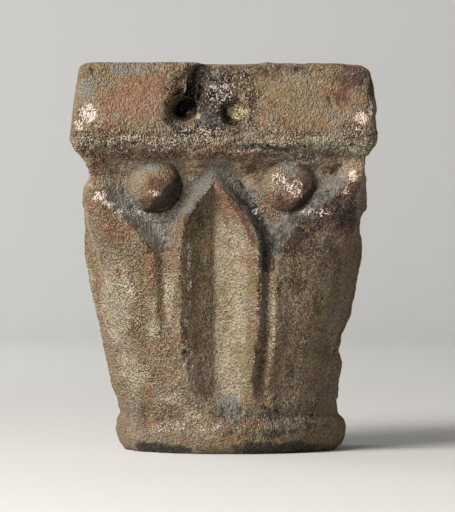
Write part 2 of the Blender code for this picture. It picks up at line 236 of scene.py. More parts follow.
class Surface:
    """The vertices of a mesh as arrays, in millimetres, with what the carving edits need."""

    def __init__(self, mesh):
        self.mesh = mesh
        count = len(mesh.vertices)
        self.points = np.empty(count * 3)
        mesh.vertices.foreach_get("co", self.points)
        self.points = self.points.reshape(-1, 3) * MM_IN_METRE
        self.edges = np.empty(len(mesh.edges) * 2, dtype=np.int32)
        mesh.edges.foreach_get("vertices", self.edges)
        self.edges = self.edges.reshape(-1, 2)
        self.valence = np.maximum(np.bincount(self.edges.ravel(), minlength=count), 1)
        self.refresh()

    def refresh(self):
        """Writes the points back to the mesh and reads its normals."""
        self.mesh.vertices.foreach_set("co", (self.points * 0.001).ravel())
        self.mesh.update()
        self.normals = np.empty(len(self.points) * 3)
        self.mesh.vertex_normals.foreach_get("vector", self.normals)
        self.normals = self.normals.reshape(-1, 3)

    def averaged(self, points):
        """The middle of each point's neighbours."""
        first, second = self.edges.T
        columns = []
        for column in points.T:
            total = np.bincount(first, weights=column[second], minlength=len(points))
            total += np.bincount(second, weights=column[first], minlength=len(points))
            columns.append(total / self.valence)
        return np.stack(columns, axis=1)

    def write(self, name, values):
        """Stores one number a point on the mesh under a name."""
        layer = self.mesh.attributes.new(name, "FLOAT", "POINT")
        layer.data.foreach_set("value", values.astype(np.float32))

    def relaxed(self, points, times):
        """The points, moved half way to the middle of their neighbours so many times."""
        for _ in range(times):
            points = points + (self.averaged(points) - points) * 0.5
        return points

    def bulge(self, times):
        """How far each point stands out of its smoothed surroundings, in millimetres."""
        away = self.points - self.relaxed(self.points, times)
        return (away * self.normals).sum(axis=1)

    def push(self, amount):
        """Moves every point along its normal."""
        self.points += self.normals * amount[:, None]

    def front(self):
        """1 on what looks to the front, 0 elsewhere."""
        return ease(*FRONT_FACING, -self.normals[:, 1]) * ease(*FRONT_DEPTH_MM, -self.points[:, 1])


# A ragged patch on the front: where it is, its reach, how soft and ragged its edge is, and which pattern
Patch = namedtuple("Patch", "x z half_wide half_high soft ragged seed", defaults=(0.6, 0.25, 3))
WOBBLE_SHARE = 0.8


def spot(surface, *values):
    """How much of a patch lies on each point: 1 in its middle, 0 past its edge."""
    patch = Patch(*values)
    across = (surface.points[:, 0] - patch.x) / patch.half_wide
    up = (surface.points[:, 2] - patch.z) / patch.half_high
    away = np.hypot(across, up)
    near = (away < 1.0 + FRACTAL_GAIN * patch.ragged) & (surface.points[:, 1] < -FRONT_DEPTH_MM[0])
    size = max(patch.half_wide, patch.half_high) * WOBBLE_SHARE
    wobble = patch.ragged * fractal(surface.points[near], size, 3, patch.seed) if patch.ragged else 0.0
    share = np.zeros(len(away))
    share[near] = 1.0 - ease(1.0 - patch.soft, 1.0, away[near] + wobble)
    return share * surface.front()


def beside_line(flat, start, end):
    """How far along a line from 0 to 1, and how far from it, each place is."""
    begin = np.array(start)
    along = np.array(end) - begin
    share = clamp((flat - begin) @ along / (along @ along))
    return share, np.hypot(*(flat - begin - share[:, None] * along).T)


# A thin cut on the front, from one place to another, that tapers to this share of its width at its ends
Slit = namedtuple("Slit", "start end half_wide depth")
SLIT_TAPER = 0.35
SLIT_EDGE = (0.3, 1.0)


def slit(surface, line):
    """How much of a slit lies on each point: 1 on it, 0 past its edge."""
    share, away = beside_line(surface.points[:, [0, 2]], line.start, line.end)
    taper = line.half_wide * (SLIT_TAPER + (1.0 - SLIT_TAPER) * np.sin(share * math.pi))
    return (1.0 - ease(*SLIT_EDGE, away / taper)) * surface.front()


STROKE_RAGGED = 0.3
STROKE_EDGE = (0.7, 1.1)
STROKE_REACH = 1.6


def stroke(surface, line, seed):
    """A band along a bent line on the front: 1 on it, 0 past its ragged edge."""
    flat = surface.points[:, [0, 2]]
    parts = [beside_line(flat, start, end)[1] for start, end in zip(line.places, line.places[1:])]
    nearest = np.minimum.reduce(parts)
    near = (nearest < line.half_wide * STROKE_REACH) & (surface.points[:, 1] < -FRONT_DEPTH_MM[0])
    wobble = STROKE_RAGGED * fractal(surface.points[near], line.half_wide, 3, seed)
    patch = np.zeros(len(flat))
    patch[near] = 1.0 - ease(*STROKE_EDGE, nearest[near] / line.half_wide + wobble)
    return patch * surface.front()


# Damage and hand-cut detail on the front. x is to the right, z is up, all in millimetres.
Chip = namedtuple("Chip", "x z half_wide half_high depth fresh")
CHIPS = [
    Chip(-121, 287, 9, 10, 1.6, 1),
    Chip(-128, 277, 6, 6, 1.3, 0.7),
    Chip(-111, 279, 5, 5, 0.8, 0.6),
    Chip(109, 284, 9, 7, 1.6, 1),
    Chip(117, 291, 5, 8, 1.2, 0.8),
    Chip(106, 275, 8, 4, 0.8, 0.5),
    Chip(-110, 219, 8, 5, 1.6, 1),
    Chip(-103, 212, 6, 4, 1.2, 1),
    Chip(-95, 206, 5, 4, 1, 0.7),
    Chip(102, 234, 5, 6, 1.5, 1),
    Chip(96, 223, 5, 4, 1.8, 0.8),
    Chip(91, 214, 7, 5, 2, 0.1),
    Chip(-39, 111, 4, 5, 2.2, 0.7),
    Chip(-37.5, 98, 3.5, 5, 1.8, 0.3),
    Chip(-37, 86, 4.5, 6, 2.6, 0.6),
    Chip(-34.5, 74, 3.5, 5, 1.8, 0.4),
    Chip(-42, 150, 3, 5, 1.2, 0.3),
    Chip(24, 140, 3, 4, 1.4, 0.5),
    Chip(23.5, 120, 3, 5, 1.2, 0.3),
    Chip(22, 92, 3, 6, 1.4, 0.3),
    Chip(20, 66, 3.5, 5, 1.5, 0.3),
    Chip(20, 206, 4, 4, 1.4, 0.5),
    Chip(43, 139, 2.5, 6, 1.2, 0.5),
    Chip(-56, 176, 4, 5, 1, 0.2),
    Chip(72, 204, 5, 3.5, 1.4, 0.4),
    Chip(61, 193, 4, 4, 1.2, 0.5),
]
LEFT_BALL = (-64.7, 227.0)
RIGHT_BALL = (47.8, 227.0)
BALL_RADIUS_MM = 22.75
BALL_SPACING_MM = 112.5
BALL_HEIGHT_MM = 228.0
FRONT_BALL_SHIFT_MM = -2.2
SIDE_BALL_DROP_MM = 10.0
BALL_SEARCH_MM = 4.0
BALL_SKIN_MM = 0.9
LEFT_HOLE = (-40.5, 291.0)
RIGHT_HOLE = (3.5, 287.5)


def find_balls(surface):
    """The middle of each of the eight balls, found from how far it stands out of its face."""
    middles = []
    flat = surface.points[:, :2] - (MIDDLE_MM, 0.0)
    for face in range(FACES):
        angle = face * math.pi / 2
        side = np.array([math.cos(angle), math.sin(angle)])
        out = np.array([math.sin(angle), -math.cos(angle)])
        shift = FRONT_BALL_SHIFT_MM if face == 0 else 0.0
        height = BALL_HEIGHT_MM - (SIDE_BALL_DROP_MM if face else 0.0)
        across = flat @ side
        outward = flat @ out
        for hand in (-1, 1):
            offset = hand * BALL_SPACING_MM / 2 + shift
            away = np.hypot(across - offset, surface.points[:, 2] - height)
            near = (away < BALL_SEARCH_MM) & (outward > 0.0)
            place = side * offset + out * (outward[near].max() - BALL_RADIUS_MM)
            middles.append(np.array([place[0] + MIDDLE_MM, place[1], height]))
    return middles


def wear_arrises(surface, sizes):
    """Rounds every arris, and turns each ball true again after the smoothing."""
    balls = find_balls(surface)
    skins = [
        np.abs(np.linalg.norm(surface.points - middle, axis=1) - BALL_RADIUS_MM) < BALL_SKIN_MM
        for middle in balls]
    surface.points = surface.relaxed(surface.points, sizes.wear)
    for middle, skin in zip(balls, skins):
        away = surface.points[skin] - middle
        surface.points[skin] = middle + away / np.linalg.norm(away, axis=1)[:, None] * BALL_RADIUS_MM
    surface.refresh()
    return balls


# The top edge dips by so much, in mm, between these places, and is ragged
TOP_EDGE_MM = (HEIGHT_MM - 16.0, HEIGHT_MM - 1.0)
FRONT_EDGE_MM = (84.0, 116.0)
MIDDLE_DIP = (3.4, (-18.0, 17.0, 14.0))
RIGHT_DIP = (1.4, (40.0, 58.0, 12.0))
CORNER_DIP = (4.6, (62.0, 118.0))
SIDE_DIP = (2.4, (92.0, 112.0))


def wear_top_edge(surface):
    """The top edge dips in the middle of the front and at its right end."""
    x, y, z = surface.points.T
    near_top = ease(*TOP_EDGE_MM, z)
    near_front = ease(*FRONT_EDGE_MM, -y)
    dip = sum(depth * band(*where, x) for depth, where in (MIDDLE_DIP, RIGHT_DIP))
    dip = dip + CORNER_DIP[0] * ease(*CORNER_DIP[1], x)
    ragged = 1.0 + 0.5 * noise(surface.points, *TOP_EDGE_NOISE)
    surface.points[:, 2] -= dip * near_top * near_front * ragged
    right_edge = ease(*SIDE_DIP[1], x) * near_top
    surface.points[:, 2] -= SIDE_DIP[0] * right_edge * (1.0 - near_front)


SAG_MM = 3.2
SAG_ACROSS = (-62.0, 40.0, 26.0)
SAG_UP = (ABACUS_FOOT_MM - 14.0, ABACUS_FOOT_MM - 4.0, 6.0)
SLAB_UP = (ABACUS_FOOT_MM - 26.0, ABACUS_FOOT_MM - 6.0)
SLAB_WAVE_MM = 0.8
UNDERCUT_UP = (UNDERCUT_FOOT_MM - 2.0, ABACUS_FOOT_MM - 6.0, 7.0)
UNDERCUT_ROUGH_MM = 0.6
FRONT_UNDERCUT_ROUGH_MM = 1.1
# The marks of the point in the undercut are long, and run down towards the middle
MARK_STRETCH = (0.4, 0.4, 1.0)
MARK_SLOPE = 0.25


def wear_abacus(surface):
    """The lower arris sags in the middle, and the slab's faces are a little hollow and uneven."""
    x, _, z = surface.points.T
    sag = band(*SAG_ACROSS, x) * band(*SAG_UP, z)
    surface.points[:, 1] -= SAG_MM * sag * surface.front()
    slab = ease(*SLAB_UP, z)
    surface.push(slab * SLAB_WAVE_MM * uneven(surface.points, "slab"))
    under = band(*UNDERCUT_UP, z)
    slanted = surface.points * MARK_STRETCH
    slanted[:, 2] += MARK_SLOPE * np.abs(x)
    deep = UNDERCUT_ROUGH_MM + FRONT_UNDERCUT_ROUGH_MM * surface.front()
    surface.push(under * deep * uneven(slanted, "undercut"))


BREAK = Patch(-17.0, 292.0, 44.0, 42.0, 0.35, 0.3, 7)
BREAK_MM = 1.0
BREAK_ROUGH_MM = 3.1
LUMP = Patch(-19.0, 280.0, 14.0, 13.0, 0.9, 0.15, 9)
LUMP_MM = 3.2
SHELF = Patch(-32.0, 268.0, 34.0, 10.0, 0.7, 0.3, 12)
SHELF_MM = 2.4


def break_middle(surface):
    """The rough patch in the middle of the abacus, with a smooth lump left between the holes."""
    patch = spot(surface, *BREAK)
    rough = uneven(surface.points, "break")
    surface.points[:, 1] += patch * (BREAK_MM + BREAK_ROUGH_MM * rough)
    surface.points[:, 1] -= LUMP_MM * spot(surface, *LUMP)
    surface.points[:, 1] += SHELF_MM * spot(surface, *SHELF)


GOUGE = Slit((-24.0, 326.0), (-46.0, 290.0), 17.0, 6.5)
FUNNEL = Patch(LEFT_HOLE[0] - 6.0, LEFT_HOLE[1] - 1.0, 15.0, 15.0, 0.95, 0.1)
FUNNEL_MM = 5.0
MOUTH = Patch(*RIGHT_HOLE, 15.5, 14.5, 0.8, 0.25, 21)
MOUTH_MM = 1.6
MOUTH_ROUGH_MM = 2.2
FILL = Patch(RIGHT_HOLE[0] + 5.0, RIGHT_HOLE[1] - 2.0, 10.0, 10.0, 0.7, 0.2, 24)
FILL_MM = 4.5
FILL_STARTS_MM = (3.0, 8.0)


def open_holes(surface):
    """A gouge slants down into the left hole. The right hole has a grainy bottom."""
    ragged = 1.0 + 0.35 * uneven(surface.points, "gouge")
    surface.points[:, 1] += GOUGE.depth * slit(surface, GOUGE) * ragged
    surface.points[:, 1] += FUNNEL_MM * spot(surface, *FUNNEL)
    mouth = spot(surface, *MOUTH)
    surface.points[:, 1] += MOUTH_MM * mouth + MOUTH_ROUGH_MM * mouth * uneven(surface.points, "mouth")
    fill = spot(surface, *FILL) * ease(*FILL_STARTS_MM, surface.points[:, 1] + HALF_WIDTH_MM)
    surface.points[:, 1] -= FILL_MM * fill


def blend_smooth(surface, mask, rounds):
    """Smooths where the mask is 1."""
    surface.points += (surface.relaxed(surface.points, rounds) - surface.points) * mask[:, None]


GROOVE_ACROSS = (-68.0, -54.0, 4.0)
GROOVE_UP = (30.0, 172.0, 12.0)
GROOVE_ROUNDS = 60
FULL_GROUND = [Patch(x, 246.0, 16.0, 14.0, 0.9, 0.15, 31) for x in (-31.0, 11.0)]
FULL_GROUND_MM = 5.0


def fill_worn_forms(surface):
    """The groove left of the middle leaf is almost worn away, and the ground beside the point is full."""
    x, _, z = surface.points.T
    groove = band(*GROOVE_ACROSS, x) * band(*GROOVE_UP, z) * surface.front()
    blend_smooth(surface, groove, GROOVE_ROUNDS)
    for patch in FULL_GROUND:
        surface.points[:, 1] -= FULL_GROUND_MM * spot(surface, *patch)


# How far each ball is worn flat, in the order of find_balls, and the rings round the front ones
BALL_FLATS_MM = (1.2, 3.4, 2.0, 1.2, 0.8, 2.4, 1.6, 1.0)
FLAT_ROUGH_MM = 0.6
FLAT_SHARE = 0.9
BALL_REACH_MM = 1.5
RINGS = ((LEFT_BALL, 1.5), (RIGHT_BALL, 0.9))
RING_BAND = (BALL_RADIUS_MM + 0.5, BALL_RADIUS_MM + 7.0, 2.5)
RING_GROUND_MM = (9.0, 13.0)
RING_TURN = (-0.1, 0.6)


def finish_balls(surface, balls):
    """Wears a flat on each ball, and leaves a low socket ring to the left of and below the front ones."""
    for index, middle in enumerate(balls):
        away = surface.points - middle
        distance = np.linalg.norm(away, axis=1)
        angle = index // 2 * math.pi / 2
        out = np.array([math.sin(angle), -math.cos(angle), 0.0])
        height = away @ out
        rough = FLAT_ROUGH_MM * uneven(surface.points, "flats")
        kept = BALL_RADIUS_MM - BALL_FLATS_MM[index] + rough
        skin = (distance < BALL_RADIUS_MM + BALL_REACH_MM) & (height > 0.0)
        over = np.maximum(height - kept, 0.0) * skin * FLAT_SHARE
        surface.points -= over[:, None] * out
    for middle, depth in RINGS:
        x = surface.points[:, 0] - middle[0]
        z = surface.points[:, 2] - middle[1]
        away = np.hypot(x, z)
        ground = surface.front() * ease(*RING_GROUND_MM, HALF_WIDTH_MM + surface.points[:, 1])
        low_left = ease(*RING_TURN, -(x + 0.7 * z) / np.maximum(away, 1.0))
        surface.points[:, 1] -= ground * depth * band(*RING_BAND, away) * low_left


# What the right side stands out by, in mm, and between which heights
RIGHT_SIDE = (
    (2.4, (292.0, 322.0, 8.0)), (3.0, (208.0, 246.0, 6.0)), (5.5, (50.0, 74.0, 14.0)),
    (-1.6, (188.0, 198.0, 6.0)))
RIGHT_SIDE_ACROSS = (55.0, 85.0)


def shape_right_side(surface):
    """The right side stands out a little at the slab, at the lobe and low down, where less is lost."""
    x, _, z = surface.points.T
    out = sum(amount * band(*where, z) for amount, where in RIGHT_SIDE)
    surface.points[:, 0] += out * ease(*RIGHT_SIDE_ACROSS, x)


LOBE = Patch(103.0, 239.0, 12.0, 14.0, 0.9, 0.0)
LOBE_FORWARD_MM = 3.0
LOBE_ASIDE_MM = 2.5
SLOT = Slit((82.0, 238.0), (90.0, 245.0), 4.2, 6.0)


def shape_corners(surface):
    """The right corner leaf ends in a round lobe, with a slot cut in beside it."""
    lobe = spot(surface, *LOBE)
    surface.points[:, 1] -= LOBE_FORWARD_MM * lobe
    surface.points[:, 0] += LOBE_ASIDE_MM * lobe
    surface.points[:, 1] += SLOT.depth * slit(surface, SLOT)


CRACKS = (
    Slit((81.0, 303.0), (85.5, 290.0), 1.7, 2.2),
    Slit((-118.0, 326.0), (-113.0, 316.0), 1.9, 2.4),
    Slit((-2.0, 262.0), (18.0, 268.0), 1.8, 1.8),
    Slit((-76.0, 100.0), (-68.0, 86.0), 1.6, 1.2),
)


def cut_cracks(surface):
    for crack in CRACKS:
        surface.points[:, 1] += crack.depth * slit(surface, crack)


CHIP_SEED = 70
CHIP_SOFT = 0.5
CHIP_RAGGED = 0.4


def chip_spot(surface, index):
    """Where one chip came off."""
    chip = CHIPS[index]
    return spot(
        surface, chip.x, chip.z, chip.half_wide, chip.half_high, CHIP_SOFT, CHIP_RAGGED, CHIP_SEED + index)


def knock_chips(surface):
    for index, chip in enumerate(CHIPS):
        place = chip_spot(surface, index)
        ragged = 1.0 + 0.4 * noise(surface.points, CHIP_NOISE_MM, CHIP_NOISE_SEED + index)
        surface.push(-chip.depth * place * ragged)


ARRIS_ROUNDS = 12
ARRIS_BULGE = (0.5, 1.6)
NIBBLED = (0.05, 0.75)
NIBBLE_MM = 1.7
FOOT_UP = (2.0, NECK_MM, 4.0)
FOOT_WAVE_MM = 0.9


def wear_edges(surface):
    """Arrises are nibbled at random all round the stone, and the astragal is uneven."""
    edge = ease(*ARRIS_BULGE, surface.bulge(ARRIS_ROUNDS))
    nibble = ease(*NIBBLED, uneven(surface.points, "nibbles"))
    surface.push(-NIBBLE_MM * edge * nibble)
    foot = band(*FOOT_UP, surface.points[:, 2])
    surface.push(foot * FOOT_WAVE_MM * uneven(surface.points, "foot"))


# Node trees

def add_node(tree, kind, settings=None, links=None, values=None):
    """Adds a node with its settings, its input values and the sockets that feed it."""
    made = tree.nodes.new(kind)
    for name, value in (settings or {}).items():
        setattr(made, name, value)
    for key, value in (values or {}).items():
        made.inputs[key].default_value = value
    for key, socket in (links or {}).items():
        tree.links.new(socket, made.inputs[key])
    return made


def math_node(tree, operation, first, second):
    """The output of one Math node. A side is a socket or a number."""
    links = {}
    values = {}
    for key, side in enumerate((first, second)):
        if isinstance(side, (int, float)):
            values[key] = side
        else:
            links[key] = side
    return add_node(tree, "ShaderNodeMath", {"operation": operation}, links, values).outputs[0]


# Octaves of each layer of noise. Noise from 0 to 1 is turned into -2 to 2, which it seldom reaches
LAYER_DETAIL = {"Swell": 2.0, "Dent": 3.0, "Grain": 2.0}
LAYER_ROUGHNESS = 0.55
LAYER_GAIN = 4.0
# A pit reaches this share of its cell, and only some cells have one
PIT_EDGE = {"From Min": 0.08, "From Max": 0.26, "To Min": 1.0, "To Max": 0.0}
PIT_CHANCE = {"From Min": 0.45, "From Max": 0.95, "To Min": 0.0, "To Max": 1.0}
NO_SIZE = 0.001


def weathering_tree(material):
    """Geometry Nodes that waves, dents, grains and pits the stone along its normals."""
    tree = bpy.data.node_groups.new("stone_weathering", "GeometryNodeTree")
    tree.interface.new_socket("Geometry", in_out="INPUT", socket_type="NodeSocketGeometry")
    names = [f"{layer} {side}" for layer in (*LAYER_DETAIL, "Pit") for side in ("Size", "Depth")]
    for name in names + ["Seed"]:
        socket = tree.interface.new_socket(name, in_out="INPUT", socket_type="NodeSocketFloat")
        socket.default_value = NO_SIZE
    tree.interface.new_socket("Geometry", in_out="OUTPUT", socket_type="NodeSocketGeometry")
    source = add_node(tree, "NodeGroupInput").outputs
    place = add_node(tree, "GeometryNodeInputPosition").outputs["Position"]
    open_face, rough = (
        add_node(tree, "GeometryNodeInputNamedAttribute", {"data_type": "FLOAT"}, values={"Name": name})
        .outputs["Attribute"] for name in ("open_face", "rough"))
    total = 0.0
    for layer, detail in LAYER_DETAIL.items():
        scale = math_node(tree, "DIVIDE", 1.0, source[f"{layer} Size"])
        pattern = add_node(
            tree, "ShaderNodeTexNoise", {"noise_dimensions": "4D"},
            {"Vector": place, "W": source["Seed"], "Scale": scale},
            {"Detail": detail, "Roughness": LAYER_ROUGHNESS})
        centred = math_node(tree, "SUBTRACT", pattern.outputs["Fac"], 0.5)
        deep = math_node(
            tree, "MULTIPLY", math_node(tree, "MULTIPLY", centred, LAYER_GAIN), source[f"{layer} Depth"])
        if layer == "Grain":
            deep = math_node(tree, "MULTIPLY", deep, rough)
        total = math_node(tree, "ADD", total, deep)
    scale = math_node(tree, "DIVIDE", 1.0, source["Pit Size"])
    cells = add_node(
        tree, "ShaderNodeTexVoronoi", {"voronoi_dimensions": "4D", "feature": "F1"},
        {"Vector": place, "W": source["Seed"], "Scale": scale}, {"Randomness": 1.0}).outputs
    pit = add_node(
        tree, "ShaderNodeMapRange", {"interpolation_type": "SMOOTHSTEP"}, {"Value": cells["Distance"]},
        PIT_EDGE).outputs[0]
    which = add_node(tree, "FunctionNodeSeparateColor", {}, {"Color": cells["Color"]}).outputs[0]
    some = add_node(tree, "ShaderNodeMapRange", {}, {"Value": which}, PIT_CHANCE).outputs[0]
    deep = math_node(tree, "MULTIPLY", math_node(tree, "MULTIPLY", pit, some), source["Pit Depth"])
    guarded = math_node(tree, "MULTIPLY", math_node(tree, "SUBTRACT", total, deep), open_face)
    normal = add_node(tree, "GeometryNodeInputNormal").outputs["Normal"]
    offset = add_node(
        tree, "ShaderNodeVectorMath", {"operation": "SCALE"}, {0: normal, "Scale": guarded})
    moved = add_node(
        tree, "GeometryNodeSetPosition", {},
        {"Geometry": source["Geometry"], "Offset": offset.outputs["Vector"]})
    real = add_node(tree, "GeometryNodeRealizeInstances", {}, {"Geometry": moved.outputs["Geometry"]})
    painted = add_node(
        tree, "GeometryNodeSetMaterial", {}, {"Geometry": real.outputs["Geometry"]}, {"Material": material})
    add_node(tree, "NodeGroupOutput", {}, {"Geometry": painted.outputs["Geometry"]})
    return tree


def set_tree_inputs(modifier, values):
    """Sets a Geometry Nodes modifier's inputs by the identifiers of their sockets."""
    for item in modifier.node_group.interface.items_tree:
        if item.in_out == "INPUT" and item.name in values:
            modifier[item.identifier] = values[item.name]


# Stone material

def attribute(tree, name):
    return add_node(tree, "ShaderNodeAttribute", {"attribute_name": name}).outputs["Fac"]


def pattern_noise(tree, place, size_mm, detail, rough, distort):
    """Noise whose features are about size_mm wide."""
    values = {"Scale": MM_IN_METRE / size_mm, "Detail": detail, "Roughness": rough, "Distortion": distort}
    return add_node(tree, "ShaderNodeTexNoise", {}, {"Vector": place}, values).outputs["Fac"]


def ramp(tree, value, low, high, start=0.0, end=1.0):
    return add_node(
        tree, "ShaderNodeMapRange", {"interpolation_type": "SMOOTHSTEP"}, {"Value": value},
        {"From Min": low, "From Max": high, "To Min": start, "To Max": end}).outputs[0]


# Sockets of a Mix node that mixes colours
MIX_SHARE, MIX_UNDER, MIX_OVER, MIX_RESULT = 0, 6, 7, 2


def blend_colour(tree, share, under, over):
    """Lays one colour over another. A colour is a socket or a linear RGBA."""
    links = {MIX_SHARE: share}
    values = {}
    for key, side in {MIX_UNDER: under, MIX_OVER: over}.items():
        if isinstance(side, tuple):
            values[key] = side
        else:
            links[key] = side
    made = add_node(tree, "ShaderNodeMix", {"data_type": "RGBA"}, links, values)
    return made.outputs[MIX_RESULT]


# Each pattern's width in mm, its detail, its roughness and how far it is bent. Real crystals are under 1 mm
PATTERNS = {
    "clump": (13.0, 4.0, 0.65, 0.0), "blotch": (30.0, 6.0, 0.65, 0.5), "rusty": (15.0, 6.0, 0.68, 0.3),
    "sooty": (12.0, 6.0, 0.7, 0.2), "mark": (9.0, 6.0, 0.7, 0.3), "grain": (2.6, 2.0, 0.6, 0.0),
    "crystal": (1.3, 0.0, 0.5, 0.0),
}
# Where each stain starts and is full, how broken up it is, and how strong, in the order they are laid
Stain = namedtuple("Stain", "colour low high breaking strength")
STAINS = (
    Stain("olive", 0.3, 0.62, 1.2, 0.8), Stain("rust", 0.26, 0.6, 1.5, 0.85),
    Stain("deep_rust", 0.28, 0.62, 1.4, 0.85), Stain("slate", 0.2, 0.55, 0.8, 0.92),
    Stain("grime", 0.26, 0.78, 1.4, 0.9), Stain("straw", 0.3, 0.6, 1.0, 1.0),
)
# A fresh break shows its crystals
FRESH = Stain("chip", 0.46, 0.62, 2.4, 0.9)
# Where each ramp starts and is full, and what it gives there if that isn't 0 and 1
RAMPS = {
    "clump": (0.36, 0.64, 0.4, 1.35), "olive": (0.44, 0.56), "cream": (0.52, 0.92), "edge": (0.02, 0.15),
    "calm": (0.1, 0.6, 1.0, 0.5), "freckle": (0.51, 0.59, 0.0, 0.55), "soot": (0.43, 0.36, 0.0, 0.45),
    "tone": (0.28, 0.72), "pore": (0.41, 0.33), "glint": (0.66, 0.76), "fresh": (0.1, 0.3),
    "polish": (0.1, 0.9, 0.88, 0.7),
}
RAGGED_MIDDLE = 0.85
MARK_SHARE = 0.8
GRAIN_SHARE = 0.7
TONE_SWING = 0.36
TONE_LEVEL = 0.94
PORE_SHARE = 0.75
LEAST_PORES = 0.1
GLINT_SHARE = 0.6
SPARKLE = 1.2
CRYSTAL_RELIEF = 0.5
LEAST_RELIEF = 0.45
RELIEF_DEPTH = 0.0062
CALCITE_IOR = 1.56
SHINE = 0.4


def make_stone_material(colours):
    """Weathered marble, cut with a point and a chisel: matt and coarse, with glints of light on its crystals
    painted in as white specks.

    Calcite has an IOR near 1.56 and a broken surface has a roughness near 0.85.
    """
    material = bpy.data.materials.new("weathered_carved_marble")
    material.use_nodes = True
    tree = material.node_tree
    tree.nodes.clear()
    place = add_node(tree, "ShaderNodeTexCoord").outputs["Object"]
    masks = {name: attribute(tree, name) for name in MASKS}
    patterns = {name: pattern_noise(tree, place, *values) for name, values in PATTERNS.items()}
    mark, grain, crystal = patterns["mark"], patterns["grain"], patterns["crystal"]
    clump = ramp(tree, patterns["clump"], *RAMPS["clump"])
    hackly = math_node(tree, "MULTIPLY", attribute(tree, "rough"), clump)

    # The bare stone, from buff to olive to cream
    olive = ramp(tree, patterns["blotch"], *RAMPS["olive"])
    base = blend_colour(tree, olive, tuple(colours.buff), tuple(colours.olive))
    pale = math_node(tree, "ADD", masks["pale"], math_node(tree, "MULTIPLY", mark, MARK_SHARE))
    base = blend_colour(tree, ramp(tree, pale, *RAMPS["cream"]), base, tuple(colours.cream))
    ragged = math_node(tree, "ADD", mark, math_node(tree, "MULTIPLY", grain, GRAIN_SHARE))

    def stained(mask, stain):
        """A mask whose edge and body are broken up by the marks and grains."""
        wobble = math_node(tree, "SUBTRACT", ragged, RAGGED_MIDDLE)
        wobble = math_node(tree, "MULTIPLY", wobble, stain.breaking)
        lifted = math_node(tree, "ADD", mask, wobble)
        body = ramp(tree, lifted, stain.low, stain.high)
        return math_node(tree, "MULTIPLY", body, ramp(tree, mask, *RAMPS["edge"]))

    # Freckles of rust and soot everywhere
    calm = ramp(tree, masks["pale"], *RAMPS["calm"])
    freckle = math_node(tree, "MULTIPLY", ramp(tree, patterns["rusty"], *RAMPS["freckle"]), calm)
    base = blend_colour(tree, freckle, base, tuple(colours.rust))
    soot = ramp(tree, patterns["sooty"], *RAMPS["soot"])
    base = blend_colour(tree, soot, base, tuple(colours.deep_rust))

    for stain in STAINS:
        share = math_node(tree, "MULTIPLY", stained(masks[stain.colour], stain), stain.strength)
        base = blend_colour(tree, share, base, tuple(getattr(colours, stain.colour)))

    # Each crystal is a little lighter or darker than the next, more so where the stone is hackly
    swing = math_node(tree, "ADD", hackly, TONE_SWING)
    tone = math_node(tree, "SUBTRACT", ramp(tree, crystal, *RAMPS["tone"]), 0.5)
    tone = math_node(tree, "ADD", math_node(tree, "MULTIPLY", tone, swing), TONE_LEVEL)
    base = add_node(
        tree, "ShaderNodeVectorMath", {"operation": "SCALE"}, {0: base, "Scale": tone}).outputs["Vector"]
    # Dark pores on hackly places, in the grime colour: painted shade in the pits.
    pit_share = math_node(tree, "ADD", math_node(tree, "MULTIPLY", hackly, PORE_SHARE), LEAST_PORES)
    pore = math_node(tree, "MULTIPLY", ramp(tree, grain, *RAMPS["pore"]), pit_share)
    base = blend_colour(tree, pore, base, tuple(colours.grime))
    # White specks on hackly crystals, in the fresh-break colour: painted glints of light.
    glint_share = math_node(tree, "MULTIPLY", hackly, GLINT_SHARE)
    glint = math_node(tree, "MULTIPLY", ramp(tree, crystal, *RAMPS["glint"]), glint_share)
    base = blend_colour(tree, glint, base, tuple(colours.chip))
    sparkle = math_node(tree, "MULTIPLY", math_node(tree, "SUBTRACT", crystal, 0.5), SPARKLE)
    fresh = stained(math_node(tree, "ADD", masks["chip"], sparkle), FRESH)
    fresh = math_node(tree, "MULTIPLY", fresh, ramp(tree, masks["chip"], *RAMPS["fresh"]))
    fresh = math_node(tree, "MULTIPLY", fresh, FRESH.strength)
    base = blend_colour(tree, fresh, base, tuple(colours.chip))

    # Relief too fine for the mesh: marks, grains and crystals
    height = math_node(tree, "ADD", grain, math_node(tree, "MULTIPLY", crystal, CRYSTAL_RELIEF))
    height = math_node(tree, "MULTIPLY", height, math_node(tree, "ADD", hackly, LEAST_RELIEF))
    height = math_node(tree, "ADD", height, math_node(tree, "MULTIPLY", mark, MARK_SHARE))
    bump = add_node(
        tree, "ShaderNodeBump", {}, {"Height": height}, {"Strength": 1.0, "Distance": RELIEF_DEPTH})
    rough = ramp(tree, masks["slate"], *RAMPS["polish"])
    shader = add_node(
        tree, "ShaderNodeBsdfPrincipled", {},
        {"Base Color": base, "Roughness": rough, "Normal": bump.outputs["Normal"]},
        {"IOR": CALCITE_IOR, "Metallic": 0.0, "Specular IOR Level": SHINE})
    add_node(tree, "ShaderNodeOutputMaterial", {}, {"Surface": shader.outputs["BSDF"]})
    return material


